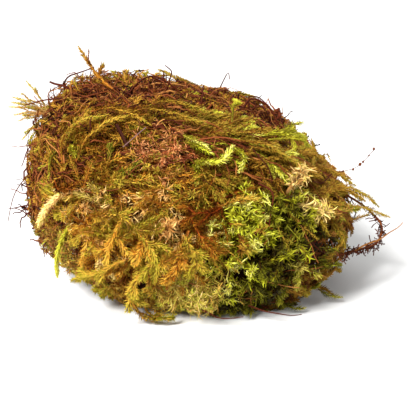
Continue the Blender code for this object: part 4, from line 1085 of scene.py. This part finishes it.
def moved_to(node, tufts, out):
    """Shifts tufts so that their box sits over the node's box, and a little further out."""
    low, high = (np.array(corner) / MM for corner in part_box(node))
    middle = (low + high) / 2
    points = np.concatenate([points for points, _, _ in tufts])
    shift = middle - (points.min(0) + points.max(0)) / 2 + unit(middle - HEART) * out
    return [(points + shift, quads, uvs) for points, quads, uvs in tufts]


def crown_frond(rng):
    """The long golden frond that stands up from the crest, with a fork and a spur."""
    close = fine(leaf=0.95, spacing=0.7, spread=0.75, stem=1.8, rows=7, fan=360)
    main, up = traced([(-44, 58, 2.2), (-64, 60, 5.0), [-36.2, -3, 75.0], [-42.7, 0, 84.3]], 14)
    fork, fork_up = traced([main[0, 8], [-35.2, -4.5, 77.5], [-34.0, -5, 79.6]], 6)
    spur, spur_up = traced([main[0, 10], [-39.2, -3.5, 80.5], [-38.8, -4, 84.7]], 6)
    made = leafy(rng, main[:, :6], up[:, :6], 0.1, fine(leaf=0.5, spread=0.5, stem=1.4, fan=360))
    made += leafy(rng, main[:, 5:], up[:, 5:], 0.5, close)
    made += leafy(rng, fork, fork_up, 0.6, close)
    return made + leafy(rng, spur, spur_up, 0.1, fine(leaf=0.6, spread=0.5, fan=360))


def straw_fan(rng):
    """The straw-coloured fan on the left shoulder."""
    furry = fine(leaf=0.66, spacing=0.7, spread=0.75, rows=6, fan=360)
    root = knot_point((-84, 37, 2.4))
    made = []
    for tip in np.array(FAN_TIPS):
        path, up = traced([root, (root + tip) / 2 + (0, -0.5, 1.2), tip], 8)
        made += leafy(rng, path, up, rng.uniform(2.4, 2.8, 1), furry)
        sides, tops = branches(rng, path, up, (0.4, 0.6), 5.0, 26)
        made += leafy(rng, sides, tops, rng.uniform(0.4, 0.8, len(sides)), furry)
    return made


def lime_frond(rng):
    """The bright frond that hangs down the left side."""
    path, up = traced([(-44, 12, 3), (-46, 4, 6.5), (-49, -4, 7.5), (-53, -13, 8.0)], 12)
    close = fine(leaf=0.85, spacing=0.45, spread=0.6, rows=7, stem=1.5, fan=320)
    return moved_to("lime_frond", leafy(rng, path, up, 0.6, close), 2.0)


def lime_sprig(rng):
    """The bright sprig on the upper right, with one long side shoot and some short ones."""
    path, up = traced([(45, 45, 3.6), (51, 43, 6.0), (58, 40, 7.6), (67, 36, 8.0)], 9)
    fork = path[0, 3]
    side, side_up = traced([fork, fork + (3.0, -1.0, 3.2), fork + (6.5, -2.0, 4.0)], 6)
    made = leafy(rng, path, up, 0.5, fine(leaf=0.95, spacing=0.6, spread=0.8, rows=6))
    made += leafy(rng, side, side_up, 0.6, fine(spacing=0.7))
    sides, tops = branches(rng, path, up, (0.2, 0.4, 0.6), 3.2, 32)
    made += leafy(rng, sides, tops, rng.uniform(0.3, 0.7, len(sides)), fine(spacing=0.8))
    return moved_to("lime_sprig", made, 3.0)


class MOSS_OT_loose_fronds(Operator):
    """Add the fronds that stand out of the clump: golden, straw and lime"""

    bl_idname = "moss.loose_fronds"
    bl_label = "Loose Fronds"

    def execute(self, context):
        rng = draws(DRAWS["loose_fronds"])
        for node, grow, colours, slot in (
            ("crown_frond", crown_frond, ("gold",), "golden_moss"),
            ("straw_fan", straw_fan, ("straw", "cream"), "straw_moss"),
            ("lime_frond", lime_frond, ("lime",), "lime_moss"),
            ("lime_sprig", lime_sprig, ("lime",), "lime_moss"),
        ):
            mesh_piece(node + "_leaves", grow(rng), palette(*colours), node)
        return {"FINISHED"}


def pale_tuft(rng, start, end, up, fresh, count=150, wraps=5):
    """A pale shoot: a sheath of broad overlapping leaves that opens into narrow curling ones."""
    axis = unit(end - start)
    side = unit(np.cross(axis, up))
    out = turned(side, up, rng.uniform(0, FULL_TURN, count)[:, None])
    at = rng.beta(3.0, 1.0, count)[:, None]  # crowded towards the end
    course = turned(axis, out, np.radians(rng.uniform(5, 100, count))[:, None])
    bend = -axis * rng.uniform(-0.5, 1.0, (count, 1)) + out * rng.normal(0, 0.7, (count, 1))
    bend += rng.normal(0, 0.4, (count, 3))
    long = 4.2 * rng.uniform(0.5, 1.25, count)
    feet = start + (end - start) * at + out * 0.5
    path = arcs(feet, course, bend, long, rng.uniform(0.8, 3.4, count), LEAF_STEPS)
    made = [curling_leaves(rng, path, up, course, 0.21, (0.6, 1.5), (fresh, 0.2))]
    out = turned(side, up, (FULL_TURN * np.arange(wraps) / wraps)[:, None])
    long = np.linalg.norm(end - start) * rng.uniform(0.6, 1.2, wraps)
    angles = rng.uniform(0.8, 2.4, wraps)
    path = arcs(start + out * 0.4, axis + out * 0.35, axis - out, long, angles, LEAF_STEPS)
    wide = np.interp(np.linspace(0, 1, LEAF_STEPS), (0, 0.3, 0.7, 1), (0.2, 0.4, 0.35, 0.05))
    return [*made, blades(path, out[:, None], wide, tints_for(rng, wraps, fresh - 0.15, 0.15))]


class MOSS_OT_pale_heads(Operator):
    """Add the pale curled heads and the cream branch"""

    bl_idname = "moss.pale_heads"
    bl_label = "Pale Heads"

    def execute(self, context):
        for number, (node, (fresh, start, end)) in enumerate(PALE_HEADS.items()):
            rng = draws(DRAWS["pale_heads"] + number)
            made = pale_tuft(rng, knot_point(start), knot_point(end), mat_normal(aim(*end[:2])), fresh)
            mesh_piece(node + "_leaves", made, palette("cream"), node)
        rng = draws(DRAWS["cream_branch"])
        path, up = traced([(-39, 22, 5.5), (-46, 18, 7.5), (-52, 12, 8.0), (-57, 5, 7.5)], 12)
        made = leafy(rng, path, up, 0.55, fine(leaf=1.05, spacing=0.5, spread=0.75, rows=7, fan=300))
        sides, tops = branches(rng, path, up, np.linspace(0.1, 0.9, 6), 3.5, 32)
        tints = tints_for(rng, len(sides), 0.7, 0.2, 0.3)
        made += leafy(rng, sides, tops, tints, fine(spacing=0.7, spread=0.8))
        mesh_piece("cream_branch_leaves", made, palette("cream", "straw"), "cream_branch")
        return {"FINISHED"}


def rootlet_loop(rng):
    """The rootlet that loops out on the right, with its side root and its hairs."""
    up = (0.1, 0.3, 0.95)
    loop, loop_up = traced([
        (50, -3, 1.2), [43.5, -26.5, 20], [49.3, -21, 19], [55, -16, 18], [59.3, -12, 18.3],
        [60.9, -9, 22.4], [59.3, -7, 25.3], [54.4, -6, 30.1], (82, 9, 5.2),
    ], 60, up)
    loop = wriggle(rng, loop, 0.3)
    fork, fork_up = traced([loop[0, 21], [60, -15, 21.6], [68.2, -10, 25.0]], 14, up)
    made = [stalks(loop, loop_up, 0.45, 0.6)]
    made.append(stalks(wriggle(rng, fork, 0.2), fork_up, np.linspace(0.4, 0.2, 14), 0.85))
    count = 170
    starts = loop[0, np.clip(rng.normal(30, 11, count), 4, 56).astype(int)]  # most halfway round
    ways = unit(rng.normal(0, 1, (count, 3)) + (0.2, -0.2, -0.5))
    long = rng.uniform(0.4, 2.8, count)[:, None, None]
    part = np.linspace(0, 1, 5)[None, :, None]
    bow = rng.normal(0, 0.5, (count, 1, 3))
    hairs = starts[:, None] + ways[:, None] * long * part + bow * long * part**2 * 0.6
    return [*made, stalks(kinked(rng, hairs, 0.25), (0.3, 0.1, 0.9), 0.2, rng.uniform(0.05, 0.5, count))]


def bead_stalk(rng):
    """The thin stalk with small round buds on the right shoulder."""
    path, ups = traced([(82, 15, 1.2), (82, 17, 6.0), [51.5, -5.2, 43.6], [57.5, -6, 50.4]], 16, (0, -1, 0.2))
    spots = path[0, [5, 6, 8, 10, 11, 13, 15]]
    buds = [bud(spot + rng.normal(0, 0.2, 3), rng.uniform(0.3, 0.55), 0.4) for spot in spots]
    return [stalks(path, ups, 0.13, 0.45), *buds]


def straight_stalk(rng, start, end, thick, tint):
    """A short, nearly straight stalk that lies on the front."""
    start, end = np.array(start), np.array(end)
    path, ups = traced([start, (start + end) / 2, end], 8, (0, -0.8, 0.6))
    return [stalks(wriggle(rng, path, 0.1), ups, thick, tint)]


class MOSS_OT_rootlets(Operator):
    """Add the rootlet loop, the beaded stalk, the needle stub and the grass stalk"""

    bl_idname = "moss.rootlets"
    bl_label = "Rootlets and Stalks"

    def execute(self, context):
        rng = draws(DRAWS["rootlets"])
        bark, dry = palette("bark", roughness=0.65), palette("stalk", roughness=0.5)
        mesh_piece("rootlet_loop_hairs", rootlet_loop(rng), bark, "rootlet_loop")
        mesh_piece("bead_stalk_buds", bead_stalk(rng), bark, "bead_stalk")
        stub = straight_stalk(rng, (-28.1, -31, 66.3), (-24.6, -33, 59.6), 0.75, 0.03)
        mesh_piece("needle_stub_bark", stub, bark, "needle_stub")
        grass = straight_stalk(rng, (-25.9, -37, 60.5), (-18.6, -36, 66.7), 0.17, 0.3)
        mesh_piece("grass_stalk_straw", grass, dry, "grass_stalk")
        return {"FINISHED"}


# ---- the stage ----
# Name: where it stands in metres, its power in watts and its width in metres.
LIGHTS = {
    "key_light": ((-0.5, -0.75, 0.9), 33.0, 0.45),
    "fill_light": ((0.9, -0.5, 0.6), 3.0, 0.8),
    "back_light": ((-0.2, 1.0, 0.7), 6.0, 0.8),
}
SKY_LIGHT = 0.34
FLOOR_COLOUR = (0.86, 0.86, 0.85, 1)
# The camera looks down by VIEW_TILT from VIEW_DISTANCE millimetres, past a middle that lies
# VIEW_RIGHT of the clump's and VIEW_RISE up the picture from it.
VIEW_TILT = math.radians(20)
VIEW_DISTANCE = 416
VIEW_RIGHT = 0.7
VIEW_RISE = 25.2
LENS, SENSOR = 100, 36


class MOSS_OT_stage(Operator):
    """Set the pale floor, the soft lights and the camera"""

    bl_idname = "moss.stage"
    bl_label = "Stage"

    def execute(self, context):
        scene = context.scene
        mesh = bpy.data.meshes.new("floor")
        mesh.from_pydata([(-4, -4, 0), (4, -4, 0), (4, 4, 0), (-4, 4, 0)], [], [(0, 1, 2, 3)])
        floor = bpy.data.objects.new("floor", mesh)
        scene.collection.objects.link(floor)
        plain = bpy.data.materials.new("pale_floor")
        plain.use_nodes = True
        sockets = plain.node_tree.nodes["Principled BSDF"].inputs
        sockets["Base Color"].default_value = FLOOR_COLOUR
        sockets["Roughness"].default_value = 0.9
        mesh.materials.append(plain)

        scene.world = bpy.data.worlds.new("studio")
        scene.world.use_nodes = True
        sockets = scene.world.node_tree.nodes["Background"].inputs
        sockets["Color"].default_value = (1, 1, 1, 1)
        sockets["Strength"].default_value = SKY_LIGHT
        for name, (spot, power, width) in LIGHTS.items():
            lamp = bpy.data.lights.new(name, "AREA")
            lamp.energy, lamp.size = power, width
            light = bpy.data.objects.new(name, lamp)
            light.location = spot
            light.rotation_euler = (-light.location).to_track_quat("-Z", "Y").to_euler()
            scene.collection.objects.link(light)

        lens = bpy.data.cameras.new("camera")
        lens.lens, lens.sensor_width = LENS, SENSOR
        camera = bpy.data.objects.new("camera", lens)
        camera.rotation_euler = (math.pi / 2 - VIEW_TILT, 0, 0)
        sin, cos = math.sin(VIEW_TILT), math.cos(VIEW_TILT)
        target = np.array((VIEW_RIGHT, 0, 0)) + np.array((0, sin, cos)) * VIEW_RISE
        camera.location = tuple((target + VIEW_DISTANCE * np.array((0, -cos, sin))) * MM)
        scene.collection.objects.link(camera)
        scene.camera = camera
        scene.view_settings.view_transform = "Standard"
        return {"FINISHED"}


# ---- the panel, and running it ----
OPERATORS = (MOSS_OT_dead_stems, MOSS_OT_feathers, MOSS_OT_fronds, MOSS_OT_rosettes, MOSS_OT_curls,
             MOSS_OT_loose_fronds, MOSS_OT_pale_heads, MOSS_OT_rootlets, MOSS_OT_stage)
STEPS = [operator.bl_idname for operator in OPERATORS]


class MOSS_PT_clump(Panel):
    """Sizes and colours of the moss and a button for each group of pieces"""

    bl_idname = "MOSS_PT_clump"
    bl_label = "Sphagnum Moss Clump"
    bl_space_type = "VIEW_3D"
    bl_region_type = "UI"
    bl_category = "Moss"

    def draw(self, context):
        scene = context.scene
        for group, fields in ((scene.moss_shape, MossShape), (scene.moss_colours, MossColours)):
            for field in fields.__annotations__:
                self.layout.prop(group, field)
        for step in STEPS:
            self.layout.operator(step)


CLASSES = (MossShape, MossColours, *OPERATORS, MOSS_PT_clump)


def register():
    for item in CLASSES:
        bpy.utils.register_class(item)
    bpy.types.Scene.moss_shape = PointerProperty(type=MossShape)
    bpy.types.Scene.moss_colours = PointerProperty(type=MossColours)


def unregister():
    del bpy.types.Scene.moss_shape
    del bpy.types.Scene.moss_colours
    for item in reversed(CLASSES):
        bpy.utils.unregister_class(item)


def main():
    """Registers the add-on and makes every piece."""
    register()
    for step in STEPS:
        getattr(bpy.ops.moss, step.removeprefix("moss."))()
    bpy.context.view_layer.update()


if __name__ == "__main__":
    main()
